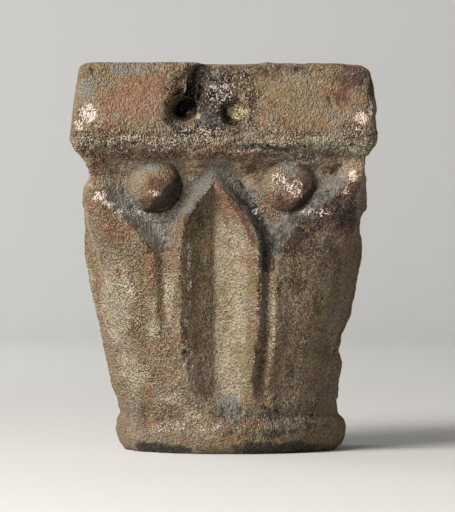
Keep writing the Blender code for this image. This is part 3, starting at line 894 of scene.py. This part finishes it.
# Where each colour lies. Patches on the front are x, z, half width, half height and strength.
MASKS = ("rust", "deep_rust", "pale", "olive", "slate", "grime", "chip", "straw")
PATCHES = {
    "rust": [
        (-80, 299, 42, 30, 0.62), (-102, 278, 26, 11, 0.6), (-60, 312, 13, 15, 0.6),
        (83, 306, 15, 10, 0.8), (96, 299, 18, 18, 0.55), (79, 278, 14, 8, 0.6),
        (34, 295, 7, 13, 0.5), (10, 297, 5, 4, 0.8), (107, 275, 13, 8, 0.55), (-14, 258, 40, 6, 0.65),
        (-110, 248, 14, 16, 0.65), (-29, 251, 14, 8, 0.5), (8, 244, 14, 9, 0.45),
        (-120, 210, 8, 14, 0.8), (-106, 194, 19, 18, 0.6), (-86, 188, 15, 13, 0.52),
        (-113, 300, 14, 26, 0.5),
        (-70, 172, 8, 20, 0.65), (-66, 150, 6, 26, 0.65), (-96, 152, 6, 9, 0.6),
        (-85, 122, 7, 7, 0.5), (-114, 143, 6, 18, 0.55), (-106, 106, 6, 13, 0.55),
        (-62, 89, 17, 16, 0.66), (-72, 51, 13, 11, 0.45), (-53, 165, 8, 34, 0.5),
        (-45, 194, 6, 19, 0.6), (-12, 214, 6, 19, 0.75), (2, 206, 13, 9, 0.75),
        (13, 193, 7, 13, 0.65), (-4, 116, 5, 8, 0.5), (65, 102, 11, 9, 0.5),
        (112, 194, 6, 11, 0.45), (-68, 26, 18, 9, 0.5), (20, 26, 18, 9, 0.55),
        (12, 37, 9, 6, 0.45), (-67, 232, 14, 8, 0.7), (-59, 221, 13, 8, 0.6),
        (33, 219, 7, 11, 0.7), (46, 212, 13, 5, 0.75), (104, 236, 8, 11, 0.5),
    ],
    "deep_rust": [
        # (100, 200), (80, 196) and (74, 176) darken the top of the right corner leaf: its deep red stain,
        # and painted shade for its turn away from the light.
        (-26, 202, 8, 22, 0.5), (-30, 105, 9, 28, 0.5), (62, 194, 14, 15, 0.8),
        (51, 173, 10, 14, 0.7), (58, 143, 12, 13, 0.6), (73, 122, 8, 19, 0.5),
        (50, 72, 12, 18, 0.5), (100, 200, 18, 28, 0.95), (80, 196, 18, 14, 0.9),
        (-18, 232, 6, 8, 0.4), (90, 302, 22, 18, 0.66),
        (-61, 227, 13, 11, 0.7), (14, 243, 11, 9, 0.6),
        (74, 176, 30, 34, 0.5), (-16, 300, 40, 34, 0.45),
        (102, 318, 26, 15, 0.75), (60, 324, 30, 7, 0.5), (-90, 268, 34, 8, 0.5),
        (-28, 150, 7, 20, 0.35), (60, 30, 30, 12, 0.35), (-20, 270, 24, 10, 0.35),
    ],
    "pale": [
        # The pale patches at (-33, 238), (-30, 244) and (-106, 244) are painted light, lifting the slab's
        # shadow below it.
        (-97, 135, 28, 58, 0.68), (-89, 72, 26, 30, 0.55), (-33, 238, 14, 13, 1),
        (-64, 110, 10, 30, 0.45), (-84, 296, 34, 24, 0.3), (-30, 244, 12, 10, 0.9),
        (34, 123, 5, 52, 0.75), (-89, 223, 6, 14, 0.65), (-78, 205, 11, 7, 0.55),
        (-53, 131, 6, 50, 0.5), (-38, 32, 26, 8, 0.55), (-43, 47, 26, 9, 0.4),
        (26, 228, 5, 14, 0.5), (56, 300, 12, 20, 0.35), (30, 182, 6, 20, 0.5),
        (-106, 244, 17, 16, 0.55),
    ],
    "olive": [
        (51, 295, 26, 26, 0.75), (58, 257, 36, 8, 0.5), (79, 240, 18, 10, 0.7),
        (12, 76, 10, 24, 0.6), (87, 140, 13, 36, 0.65), (-34, 238, 12, 10, 0.4),
        (-110, 258, 13, 8, 0.6), (76, 80, 24, 26, 0.45), (-70, 66, 30, 20, 0.35),
    ],
    "slate": [
        (-65, 243, 16, 8, 0.75), (-122, 307, 9, 16, 0.65), (-89, 323, 26, 8, 0.6),
        (-68, 295, 5, 15, 0.4), (-97, 212, 16, 9, 0.8), (-81, 202, 14, 9, 0.9),
        (-65, 188, 13, 18, 0.9), (-39, 211, 14, 11, 0.85), (-26, 225, 11, 9, 0.85),
        (-14, 239, 11, 8, 0.85), (1, 233, 11, 10, 0.75), (12, 219, 9, 12, 0.8),
        (22, 198, 9, 16, 0.8), (31, 186, 7, 17, 0.75), (57, 203, 18, 8, 0.85),
        (73, 219, 9, 11, 0.8), (43, 191, 13, 12, 0.85), (83, 231, 9, 7, 0.5),
        (-22, 284, 20, 11, 0.6), (12, 270, 18, 8, 0.55), (-4, 42, 13, 13, 0.9), (49, 240, 15, 9, 0.75),
        (26, 131, 4, 64, 0.55), (83, 284, 9, 7, 0.4),
        (100, 320, 24, 8, 0.25), (-18, 318, 26, 14, 0.4),
    ],
    "grime": [
        # Some grime patches are painted shade: in the left hole and gouge at (-40, 296) and (-29, 311), at
        # the low right of the balls at (-46, 213) and (64, 213), in the right ditches at (48, 192) and (28,
        # 205), and on the top of the right corner leaf at (96, 205) and (94, 202), for its turn away from
        # the light.
        (-40, 296, 10, 10, 0.85), (-29, 311, 5, 13, 0.95), (-14, 315, 15, 12, 0.5),
        (-4, 301, 9, 6, 0.8), (-7, 290, 5, 10, 1), (-76, 264, 34, 4, 0.4),
        (28, 260, 28, 4, 0.4), (85.5, 243, 7, 4, 0.9), (96, 265, 18, 6, 0.4),
        (117, 310, 6, 22, 0.7), (70, 34, 28, 12, 0.45), (26, 150, 4, 70, 0.35),
        (-18, 296, 40, 38, 0.62), (20, 324, 100, 8, 0.5), (34, 36, 40, 12, 0.55), (0, 38, 44, 13, 0.5),
        (40, 18, 70, 12, 0.6), (96, 205, 22, 20, 0.72),
        (-46, 213, 9, 6, 0.6), (64, 213, 8, 6, 0.6), (94, 202, 20, 24, 0.5),
        (48, 192, 18, 12, 0.3), (28, 205, 12, 20, 0.3), (108, 314, 14, 16, 0.5),
        (-58, 4, 44, 8, 0.85), (44, 5, 66, 10, 0.85), (66, 22, 34, 16, 0.5),
        (10, 20, 40, 10, 0.42),
    ],
    "straw": [(6, 289, 13, 12, 1), (-28, 286, 4, 5, 0.8)],
}
# Strokes of colour along the ditches: the colour, its strength, its half width, and its places
Stroke = namedtuple("Stroke", "colour strength half_wide places")
STROKES = [
    Stroke("slate", 0.95, 7, [(-15, 240), (-33, 219), (-50, 201), (-59, 183)]),
    Stroke("deep_rust", 0.75, 4, [(-19, 234), (-30, 213), (-37, 196)]),
    Stroke("slate", 0.7, 7, [(-7, 44), (4, 33)]),
    Stroke("slate", 0.9, 8, [(-97, 221), (-77, 203), (-62, 182)]),
    Stroke("slate", 0.9, 8.5, [(-9, 240), (7, 222), (19, 206), (29, 188), (33, 170)]),
    Stroke("slate", 0.9, 8, [(39, 178), (47, 194), (62, 206), (77, 218), (87, 230)]),
    # The grime strokes below, down the middle leaf's right ditch and groove and the right fork, are painted
    # shade on slopes turned away from the light.
    Stroke("grime", 0.64, 7, [(4, 226), (18, 208), (28, 188), (31, 160)]),
    Stroke("grime", 0.2, 3, [(31, 160), (29, 60)]),
    Stroke("grime", 0.54, 8.5, [(38, 176), (47, 192), (62, 204), (78, 216)]),
    Stroke("deep_rust", 0.85, 6.5, [(56, 182), (68, 194), (82, 204), (96, 216), (104, 226)]),
    Stroke("grime", 0.5, 5, [(60, 184), (84, 204), (102, 220)]),
    Stroke("rust", 0.7, 6, [(-10, 228), (-2, 214), (8, 202)]),
    Stroke("deep_rust", 0.6, 4, [(0, 216), (9, 203), (16, 190), (20, 178)]),
    Stroke("grime", 0.34, 3, [(10, 202), (17, 188), (20, 170)]),
    # These two grime strokes are painted shade in the gouge and along the scarp below the left hole.
    Stroke("grime", 0.9, 8.5, [(-24, 322), (-31, 309), (-44, 292)]),
    Stroke("grime", 0.8, 3, [(-54, 282), (-40, 270), (-34, 272)]),
    Stroke("grime", 0.6, 2.4, [(6, 259), (26, 260), (48, 256)]),
    Stroke("grime", 0.5, 2, [(-88, 257), (-72, 255), (-60, 254)]),
]
# Scattered white crystals: x, z, half width, half height and strength
WHITE_SPECKS = [
    (-30, 23, 62, 7, 0.25), (-17, 272, 34, 9, 0.42), (-8, 305, 16, 14, 0.42),
    (-39, 90, 3.5, 26, 0.52), (-35, 150, 3, 50, 0.4), (24, 130, 3, 90, 0.42),
    (-84, 205, 26, 4, 0.42), (-62, 220, 13, 4.5, 0.8), (70, 205, 24, 5, 0.42),
    (-88, 268, 26, 6, 0.4), (-94, 246, 14, 9, 0.36), (66, 250, 40, 10, 0.3),
]


PATCH_SEED = 200
SPECK_SEED = 270
STROKE_SEED = 400
NARROW_ROUNDS = 10
WIDE_ROUNDS = 60
IN_FORK = (FORK_MM, UNDERCUT_FOOT_MM + 6.0, 10.0)
UNDER_SLAB = (UNDERCUT_FOOT_MM + 3.0, ABACUS_FOOT_MM - 2.0, 5.0)
SLAB_FROM = (ABACUS_FOOT_MM - 4.0, ABACUS_FOOT_MM + 4.0)
ASTRAGAL_MM = (28.0, 60.0)
# Where painted light lifts the slab's shadow: the sheltered band and the ledge over it.
SHELTER_UP = (UNDERCUT_FOOT_MM - 10.0, UNDERCUT_FOOT_MM + 14.0, 5.0)
LEDGE_UP = (UNDERCUT_FOOT_MM + 15.0, ABACUS_FOOT_MM - 1.0, 4.0)
RIGHT_SIDE_FROM = (20.0, 60.0)
# Where the valley's lit flank gets painted light and its dim flank painted shade.
VALLEY_UP = (44.0, 206.0, 8.0)
LIT_ACROSS = (VALLEY_MM + 1.5, VALLEY_MM + 27.0, 1.2)
DIM_ACROSS = (VALLEY_MM - 26.0, VALLEY_MM - 0.5, 1.0)
LIT_TOP = (186.0, 204.0)
# Height in mm of the dark band along the foot: painted shadow under the astragal.
FOOT_SHADE_MM = 9.0
# The painted shade low on the right of each ball, a near-black crescent: where it starts and is full, and
# its strength
SHADE_CRESCENTS = ((LEFT_BALL, 0.2, 0.46, 1.0), (RIGHT_BALL, 0.54, 0.8, 0.8))
SHADE_CRESCENT_TURN = (0.72, 0.69)
WORN_PATCHES = (
    Patch(RIGHT_BALL[0] - 8.0, RIGHT_BALL[1] + 8.0, 7.5, 8.5, 0.5, 0.5, 301),
    Patch(RIGHT_BALL[0] + 6.0, RIGHT_BALL[1] - 4.0, 9.0, 9.0, 0.5, 0.5, 301),
)


def lay(masks, name, values):
    """Lays values over a mask. The stronger one shows."""
    masks[name] = np.maximum(masks[name], values)


def laid_patches(surface, name):
    """One colour's patches on the front, laid over each other."""
    laid = np.zeros(len(surface.points))
    for index, (x, z, half_wide, half_high, strength) in enumerate(PATCHES[name]):
        patch = spot(surface, x, z, half_wide, half_high, 0.8, 0.4, PATCH_SEED + index)
        laid = np.maximum(laid, patch * strength)
    return laid


def ball_spot(surface, middle, over, soft):
    """A whole ball, and so many mm round it."""
    return spot(surface, *middle, BALL_RADIUS_MM + over, BALL_RADIUS_MM + over, soft, 0.0)


def ground_masks(surface, blotch):
    """What hollows, arrises and slow changes give, more of it on the sides and back. The dark mask grows in
    creases and hollows, under the slab and towards the foot.
    """
    z = surface.points[:, 2]
    narrow = surface.bulge(NARROW_ROUNDS)
    wide = surface.bulge(WIDE_ROUNDS)
    arris = ease(0.4, 2.2, wide) * ease(-0.1, 0.6, narrow)
    hollow = ease(0.8, 3.6, -wide)
    crease = ease(0.25, 1.1, -narrow)
    cloud = cloudy(surface.points, "cloud")
    elsewhere = 1.0 - surface.front() * 0.8
    under = band(*UNDER_SLAB, z)
    slab = ease(*SLAB_FROM, z)
    return {
        "rust": 0.2 * ease(0.3, 0.8, blotch) + elsewhere * (
            0.5 * slab * ease(0.4, 0.7, blotch) + 0.5 * arris * ease(0.3, 0.7, cloud) + 0.3 * under),
        "deep_rust": elsewhere * (0.45 * arris * ease(0.5, 0.8, blotch) + 0.2 * ease(0.7, 0.9, cloud)),
        "pale": elsewhere * 0.5 * (1.0 - slab) * ease(0.5, 0.8, 1.0 - blotch) * (1.0 - hollow),
        "olive": 0.15 * ease(0.4, 0.8, 1.0 - cloud) + elsewhere * 0.5 * ease(0.5, 0.8, 1.0 - cloud),
        "slate": (0.5 * band(*IN_FORK, z) * hollow + 0.3 * hollow) * (0.5 + 0.5 * elsewhere),
        "grime": elsewhere * 0.3 * under + 0.25 * (1.0 - ease(*ASTRAGAL_MM, z)) + 0.25 * crease
            + 0.25 * hollow * crease + 0.2 * ease(0.6, 0.9, 1.0 - blotch),
        "chip": 0.42 * ease(0.5, 1.3, narrow) * ease(0.5, 0.8, cloud),
        "straw": np.zeros(len(z)),
    }


def shade_under_slab(surface, masks, blotch):
    """Paints light into the sheltered band below the slab and onto the ledge over it, lifting the slab's
    shadow, tints them with rust, olive and deep rust, and leaves the balls alone.
    """
    x, _, z = surface.points.T
    on_ball = sum(ball_spot(surface, middle, 2.0, 0.1) for middle in (LEFT_BALL, RIGHT_BALL))
    shelter = band(*SHELTER_UP, z) * surface.front()
    shelter = shelter * (1.0 - on_ball)
    ledge = band(*LEDGE_UP, z) * surface.front()
    right_side = ease(*RIGHT_SIDE_FROM, x)
    # Pale over the sheltered band and the ledge is painted light.
    lay(masks, "pale", (0.55 + 0.2 * right_side) * shelter + 0.4 * ledge)
    lay(masks, "rust", 0.42 * shelter + 0.3 * ledge * (1.0 - right_side))
    lay(masks, "olive", 0.5 * right_side * (shelter + ledge) * blotch)
    lay(masks, "deep_rust", 0.3 * ledge * (1.0 - 0.7 * right_side))
    masks["grime"] *= 1.0 - 0.6 * shelter


def shade_valley(surface, masks, blotch):
    """Paints the middle valley's light and shade: cream on its lit flank is painted light and grime on its
    dim flank is painted shade, parted by a crisp crease.
    """
    x, _, z = surface.points.T
    along = band(*VALLEY_UP, z) * surface.front()
    wander = x + 0.5 * noise(surface.points, *CREASE_NOISE)
    lit = band(*LIT_ACROSS, wander) * along * (1.0 - ease(*LIT_TOP, z + x))
    dim = band(*DIM_ACROSS, wander) * along
    # Cream on the lit flank is painted light; grime on the dim flank is painted shade.
    masks["pale"] = np.maximum(masks["pale"] * (1.0 - dim), (0.3 + 0.12 * blotch) * lit)
    masks["rust"] *= 1.0 - 0.6 * lit
    lay(masks, "grime", 0.24 * dim)


def lay_crystals(surface, masks):
    """White crystals, scattered in the specks and dense in the chips."""
    for index, (x, z, half_wide, half_high, strength) in enumerate(WHITE_SPECKS):
        specks = spot(surface, x, z, half_wide, half_high, 0.7, 0.4, SPECK_SEED + index)
        lay(masks, "chip", specks * strength)
    for index, chip in enumerate(CHIPS):
        lay(masks, "chip", chip_spot(surface, index) * chip.fresh * 0.85)


def shade_balls(surface, masks):
    """Paints shade on each front ball: deep rust over its low right and a near-black crescent of grime past
    it stand for the side turned from the light. Also lays two pale worn places.
    """
    x, _, z = surface.points.T
    for middle, start, full, strength in SHADE_CRESCENTS:
        ball = ball_spot(surface, middle, 2.0, 0.1)
        aside, down = SHADE_CRESCENT_TURN
        low_right = ((x - middle[0]) * aside - (z - middle[1]) * down) / BALL_RADIUS_MM
        low_right += 0.1 * uneven(surface.points, "crescent")
        dark = ball * ease(start, full, low_right)
        # Deep rust over the low right half and grime in the crescent: painted shade on the side turned from
        # the light.
        lay(masks, "deep_rust", 0.5 * ball * ease(-0.6, 0.1, low_right))
        masks["pale"] *= 1.0 - 0.9 * ball
        lay(masks, "grime", dark * strength)
        for name in ("slate", "chip"):
            masks[name] *= 1.0 - dark
    for patch in WORN_PATCHES:
        lay(masks, "chip", 0.5 * spot(surface, *patch))


def paint_masks(surface):
    """Writes the eight colour masks."""
    z = surface.points[:, 2]
    blotch = cloudy(surface.points, "blotch")
    masks = ground_masks(surface, blotch)
    for name in PATCHES:
        lay(masks, name, laid_patches(surface, name))
    masks["grime"] *= 1.0 - 0.7 * ease(0.3, 0.7, masks["slate"]) * band(*IN_FORK, z)
    shade_under_slab(surface, masks, blotch)
    for index, line in enumerate(STROKES):
        lay(masks, line.colour, line.strength * stroke(surface, line, STROKE_SEED + index))
    shade_valley(surface, masks, blotch)
    lay_crystals(surface, masks)
    shade_balls(surface, masks)
    # Painted shadow along the foot.
    lay(masks, "grime", 0.6 * ease(0.7, 1.0, 1.0 - z / FOOT_SHADE_MM))
    for name in MASKS:
        surface.write(name, clamp(masks[name]))


# Making the stone

def evaluated_copy(source, name):
    """The object's evaluated mesh as a new mesh, with every modifier applied."""
    bpy.context.view_layer.update()
    depsgraph = bpy.context.evaluated_depsgraph_get()
    mesh = bpy.data.meshes.new_from_object(source.evaluated_get(depsgraph), depsgraph=depsgraph)
    mesh.name = name
    return mesh


def settle(thing):
    """Applies the object's modifiers and removes them."""
    mesh = evaluated_copy(thing, thing.name)
    thing.modifiers.clear()
    old = thing.data
    thing.data = mesh
    bpy.data.meshes.remove(old)


def merged_copy(node, name):
    """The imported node's mesh as one closed skin, on a new object at the origin."""
    work = bmesh.new()
    work.from_mesh(node.data)
    bmesh.ops.remove_doubles(work, verts=work.verts[:], dist=MERGE_DISTANCE)
    mesh = bpy.data.meshes.new(name)
    work.to_mesh(mesh)
    work.free()
    mesh.materials.clear()
    thing = bpy.data.objects.new(name, mesh)
    bpy.context.scene.collection.objects.link(thing)
    return thing


ROUGH_ROUNDS = 14
SUNK_ROUNDS = 50
ROUGH_UNDER = (UNDERCUT_FOOT_MM + 13.0, ABACUS_FOOT_MM + 3.0, 5.0)
ROUGH_SLAB = (ABACUS_FOOT_MM - 2.0, ABACUS_FOOT_MM + 8.0, 8.0)
ROUGH_BELL = (NECK_MM, FORK_MM + 40.0, 12.0)
SMOOTH_VALLEY = ((-14.0, 20.0, 4.0), (40.0, 205.0, 8.0))
SMOOTH_FORK = (FORK_MM + 14.0, UNDERCUT_FOOT_MM - 4.0, 8.0)
HACKLY_MIDDLE = Patch(-16.0, 293.0, 44.0, 42.0, 0.4, 0.3, 7)
HACKLY_LEFT_END = Patch(-106.0, 244.0, 17.0, 16.0, 0.6, 0.3, 14)
DRESSED = (Patch(-88.0, 300.0, 38.0, 28.0, 0.4, 0.3, 320), Patch(66.0, 298.0, 40.0, 28.0, 0.4, 0.3, 320))
DRESSED_CALM = 0.55
# How much of its roughness each front ball keeps
BALL_ROUGH = ((LEFT_BALL, 0.25), (RIGHT_BALL, 0.55))
ROUGH_LIMIT = 1.4
BED_MM = 1.5
BED_FACING = 0.9


def mark_rough(surface):
    """Marks how hackly each place is, and keeps the two beds out of it."""
    x, _, z = surface.points.T
    arris = ease(0.25, 1.1, surface.bulge(ROUGH_ROUNDS))
    cloud = cloudy(surface.points, "hackly")
    valley = band(*SMOOTH_VALLEY[0], x) * band(*SMOOTH_VALLEY[1], z) * surface.front()
    smooth = band(*SMOOTH_FORK, z) * ease(0.2, 1.5, -surface.bulge(SUNK_ROUNDS))
    rough = np.maximum.reduce([
        0.9 * arris, 1.1 * band(*ROUGH_UNDER, z), 0.8 * band(*ROUGH_SLAB, z) * cloud,
        1.25 * spot(surface, *HACKLY_MIDDLE), 0.7 * spot(surface, *HACKLY_LEFT_END),
        0.12 + 0.3 * cloud + 0.24 * band(*ROUGH_BELL, z)])
    rough = rough * (0.6 + 0.4 * surface.front())
    crust = ease(0.2, 0.7, laid_patches(surface, "slate"))
    rough = rough * (1.0 - 0.6 * smooth) * (1.0 - 0.7 * valley) * (1.0 - 0.85 * crust)
    for patch in DRESSED:
        rough = rough * (1.0 - DRESSED_CALM * spot(surface, *patch))
    for middle, kept in BALL_ROUGH:
        rough = rough * (1.0 - ball_spot(surface, middle, 3.0, 0.15) * (1.0 - kept))
    top = (z > HEIGHT_MM - BED_MM) & (surface.normals[:, 2] > BED_FACING)
    foot = (z < BED_MM) & (surface.normals[:, 2] < -BED_FACING)
    surface.write("open_face", 1.0 - 0.75 * top - 1.0 * foot)
    surface.write("rough", np.clip(rough, 0.0, ROUGH_LIMIT))


# The share of thinning that each quarter of the way round to the front takes
THINNING = (1.0, 0.85, 0.7, 0.55)
THINNING_PULL = 0.00005


def thin_out(stone, share):
    """Keeps this share of the triangles, somewhat more of them on the front."""
    surface = Surface(stone.data)
    group = stone.vertex_groups.new(name="hidden_sides")
    front = ease(-0.35, 0.1, -surface.normals[:, 1]) * ease(-40.0, 10.0, -surface.points[:, 1])
    for level, weight in enumerate(THINNING):
        chosen = np.nonzero(np.round(front * (len(THINNING) - 1)) == level)[0]
        group.add(chosen.tolist(), weight, "REPLACE")
    thin = stone.modifiers.new("thin", "DECIMATE")
    thin.ratio = share
    thin.vertex_group = group.name
    thin.vertex_group_factor = THINNING_PULL
    settle(stone)
    stone.vertex_groups.clear()


FLAT_FOOT_MM = 1.2
FLAT_FOOT_FACING = 0.7


def keep_in_block(surface):
    """Keeps the skin inside the block's own box, and its underside flat."""
    low = np.array(NODE_LOW) * MM_IN_METRE
    high = np.array(NODE_HIGH) * MM_IN_METRE
    surface.points = np.clip(surface.points, low, high)
    foot = (surface.points[:, 2] < FLAT_FOOT_MM) & (surface.normals[:, 2] < -FLAT_FOOT_FACING)
    surface.points[foot, 2] = 0.0
    surface.refresh()


MERGE_DISTANCE = 0.00001


class CAPITAL_OT_stone(bpy.types.Operator):
    """Makes the weathered skin of the carved block"""

    bl_idname = "capital.make_stone"
    bl_label = "Make Stone"

    def execute(self, context):
        sizes = context.scene.capital_sizes
        stone = merged_copy(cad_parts["capital"], "carved_capital")
        remesh = stone.modifiers.new("remesh", "REMESH")
        remesh.mode = "VOXEL"
        remesh.voxel_size = sizes.voxel * 1.0
        settle(stone)

        surface = Surface(stone.data)
        balls = wear_arrises(surface, sizes)
        wear_top_edge(surface)
        wear_abacus(surface)
        fill_worn_forms(surface)
        surface.refresh()
        break_middle(surface)
        open_holes(surface)
        finish_balls(surface, balls)
        shape_corners(surface)
        shape_right_side(surface)
        surface.refresh()
        wear_edges(surface)
        knock_chips(surface)
        cut_cracks(surface)
        surface.refresh()
        mark_rough(surface)

        material = make_stone_material(context.scene.capital_colours)
        weather = stone.modifiers.new("weathering", "NODES")
        weather.node_group = weathering_tree(material)
        inputs = {"Seed": float(sizes.seed)}
        for layer in (*LAYER_DETAIL, "Pit"):
            for side in ("Size", "Depth"):
                inputs[f"{layer} {side}"] = getattr(sizes, f"{layer}_{side}".lower())
        set_tree_inputs(weather, inputs)
        settle(stone)
        triangles = sum(len(face.vertices) - 2 for face in stone.data.polygons)
        if triangles > TRIANGLE_LIMIT:
            thin_out(stone, TRIANGLE_LIMIT / triangles)

        surface = Surface(stone.data)
        keep_in_block(surface)
        paint_masks(surface)
        stone.data.materials.clear()
        stone.data.materials.append(material)
        stone.data.shade_smooth()
        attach(stone, "root")
        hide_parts("capital")
        return {"FINISHED"}


def add_area_light(name, place, aim, size, power, tint):
    data = bpy.data.lights.new(name, "AREA")
    data.shape = "DISK"
    data.size = size
    data.energy = power
    data.color = linear(tint)[:3]
    lamp = bpy.data.objects.new(name, data)
    lamp.location = place
    lamp.rotation_euler = (Vector(aim) - Vector(place)).to_track_quat("-Z", "Y").to_euler()
    bpy.context.scene.collection.objects.link(lamp)


FAR_CLIP = 40.0


def add_camera():
    data = bpy.data.cameras.new("camera")
    data.sensor_width = SENSOR_MM
    data.lens = SENSOR_MM * CAMERA_DISTANCE / (FRAME_PIXELS * PIXEL_SIZE)
    data.clip_end = FAR_CLIP
    camera = bpy.data.objects.new("camera", data)
    camera.location = (CAMERA_SIDE, -CAMERA_DISTANCE, CAMERA_HEIGHT)
    camera.rotation_euler = (math.pi / 2, 0.0, 0.0)
    bpy.context.scene.collection.objects.link(camera)
    bpy.context.scene.camera = camera


BEND_STEPS = 14
WALL_HEIGHT = 3.0
ROUND_STEPS = 96


def backdrop_profile(stage):
    """Floor, turn and wall as radius and height, from the middle out."""
    profile = [(0.0, 0.0), (stage.radius * 0.5, 0.0)]
    for step in range(BEND_STEPS + 1):
        angle = step / BEND_STEPS * math.pi / 2
        profile.append((stage.radius + stage.bend * math.sin(angle), stage.bend * (1.0 - math.cos(angle))))
    profile.append((stage.radius + stage.bend, stage.bend + WALL_HEIGHT))
    return profile


def make_backdrop_material(stage):
    """Matt painted board: an even pale grey with hardly any shine."""
    material = bpy.data.materials.new("painted_backdrop")
    material.use_nodes = True
    shader = material.node_tree.nodes["Principled BSDF"]
    shader.inputs["Base Color"].default_value = tuple(stage.floor)
    shader.inputs["Roughness"].default_value = 0.95
    shader.inputs["Specular IOR Level"].default_value = 0.1
    return material


# A wide soft lamp from the upper left, and one that lights the backdrop
KEY_PLACE = (-2.0, -2.05, 1.7)
KEY_WIDTH = 2.2
WASH_PLACE = (-2.9, 1.9, 2.8)
WASH_AIM = (-1.5, 5.4, 0.4)
WASH_WIDTH = 2.0


class CAPITAL_OT_stage(bpy.types.Operator):
    """Makes the floor, the backdrop, the lights and the camera"""

    bl_idname = "capital.make_stage"
    bl_label = "Make Stage"

    def execute(self, context):
        stage = context.scene.capital_stage
        work = bmesh.new()
        profile = [work.verts.new((radius, 0.0, height)) for radius, height in backdrop_profile(stage)]
        for inner, outer in zip(profile, profile[1:]):
            work.edges.new((inner, outer))
        bmesh.ops.spin(
            work, geom=work.verts[:] + work.edges[:], cent=(0, 0, 0), axis=(0, 0, 1), dvec=(0, 0, 0),
            angle=math.tau, steps=ROUND_STEPS)
        bmesh.ops.remove_doubles(work, verts=work.verts[:], dist=0.0001)
        bmesh.ops.recalc_face_normals(work, faces=work.faces[:])
        mesh = bpy.data.meshes.new("studio_floor")
        work.to_mesh(mesh)
        work.free()
        mesh.shade_smooth()
        mesh.materials.append(make_backdrop_material(stage))
        floor = bpy.data.objects.new("studio_floor", mesh)
        context.scene.collection.objects.link(floor)

        middle = (0.0, 0.0, NODE_HIGH.z / 2)
        add_area_light("key_light", KEY_PLACE, middle, KEY_WIDTH, stage.key, "#FFFBF6")
        add_area_light("backdrop_light", WASH_PLACE, WASH_AIM, WASH_WIDTH, stage.wash, "#FFFFFF")
        world = bpy.data.worlds.new("room")
        world.use_nodes = True
        background = world.node_tree.nodes["Background"]
        background.inputs["Color"].default_value = linear("#E4E4E6")
        background.inputs["Strength"].default_value = stage.sky
        context.scene.world = world
        context.scene.view_settings.view_transform = "Standard"
        add_camera()
        return {"FINISHED"}


class CAPITAL_PT_panel(bpy.types.Panel):
    """Lists the pieces and their settings"""

    bl_label = "Cloister Capital"
    bl_idname = "CAPITAL_PT_panel"
    bl_space_type = "VIEW_3D"
    bl_region_type = "UI"
    bl_category = "Capital"

    def draw(self, context):
        for operator, group in (
            (CAPITAL_OT_stone, context.scene.capital_sizes),
            (None, context.scene.capital_colours),
            (CAPITAL_OT_stage, context.scene.capital_stage),
        ):
            column = self.layout.column()
            if operator:
                column.operator(operator.bl_idname)
            for name in group.__annotations__:
                column.prop(group, name)


CLASSES = (CapitalSizes, CapitalColours, CapitalStage, CAPITAL_OT_stone, CAPITAL_OT_stage, CAPITAL_PT_panel)


def register():
    for kind in CLASSES:
        bpy.utils.register_class(kind)
    bpy.types.Scene.capital_sizes = PointerProperty(type=CapitalSizes)
    bpy.types.Scene.capital_colours = PointerProperty(type=CapitalColours)
    bpy.types.Scene.capital_stage = PointerProperty(type=CapitalStage)


def unregister():
    del bpy.types.Scene.capital_stage
    del bpy.types.Scene.capital_colours
    del bpy.types.Scene.capital_sizes
    for kind in reversed(CLASSES):
        bpy.utils.unregister_class(kind)


def main():
    register()
    bpy.ops.capital.make_stone()
    bpy.ops.capital.make_stage()


if __name__ == "__main__":
    main()
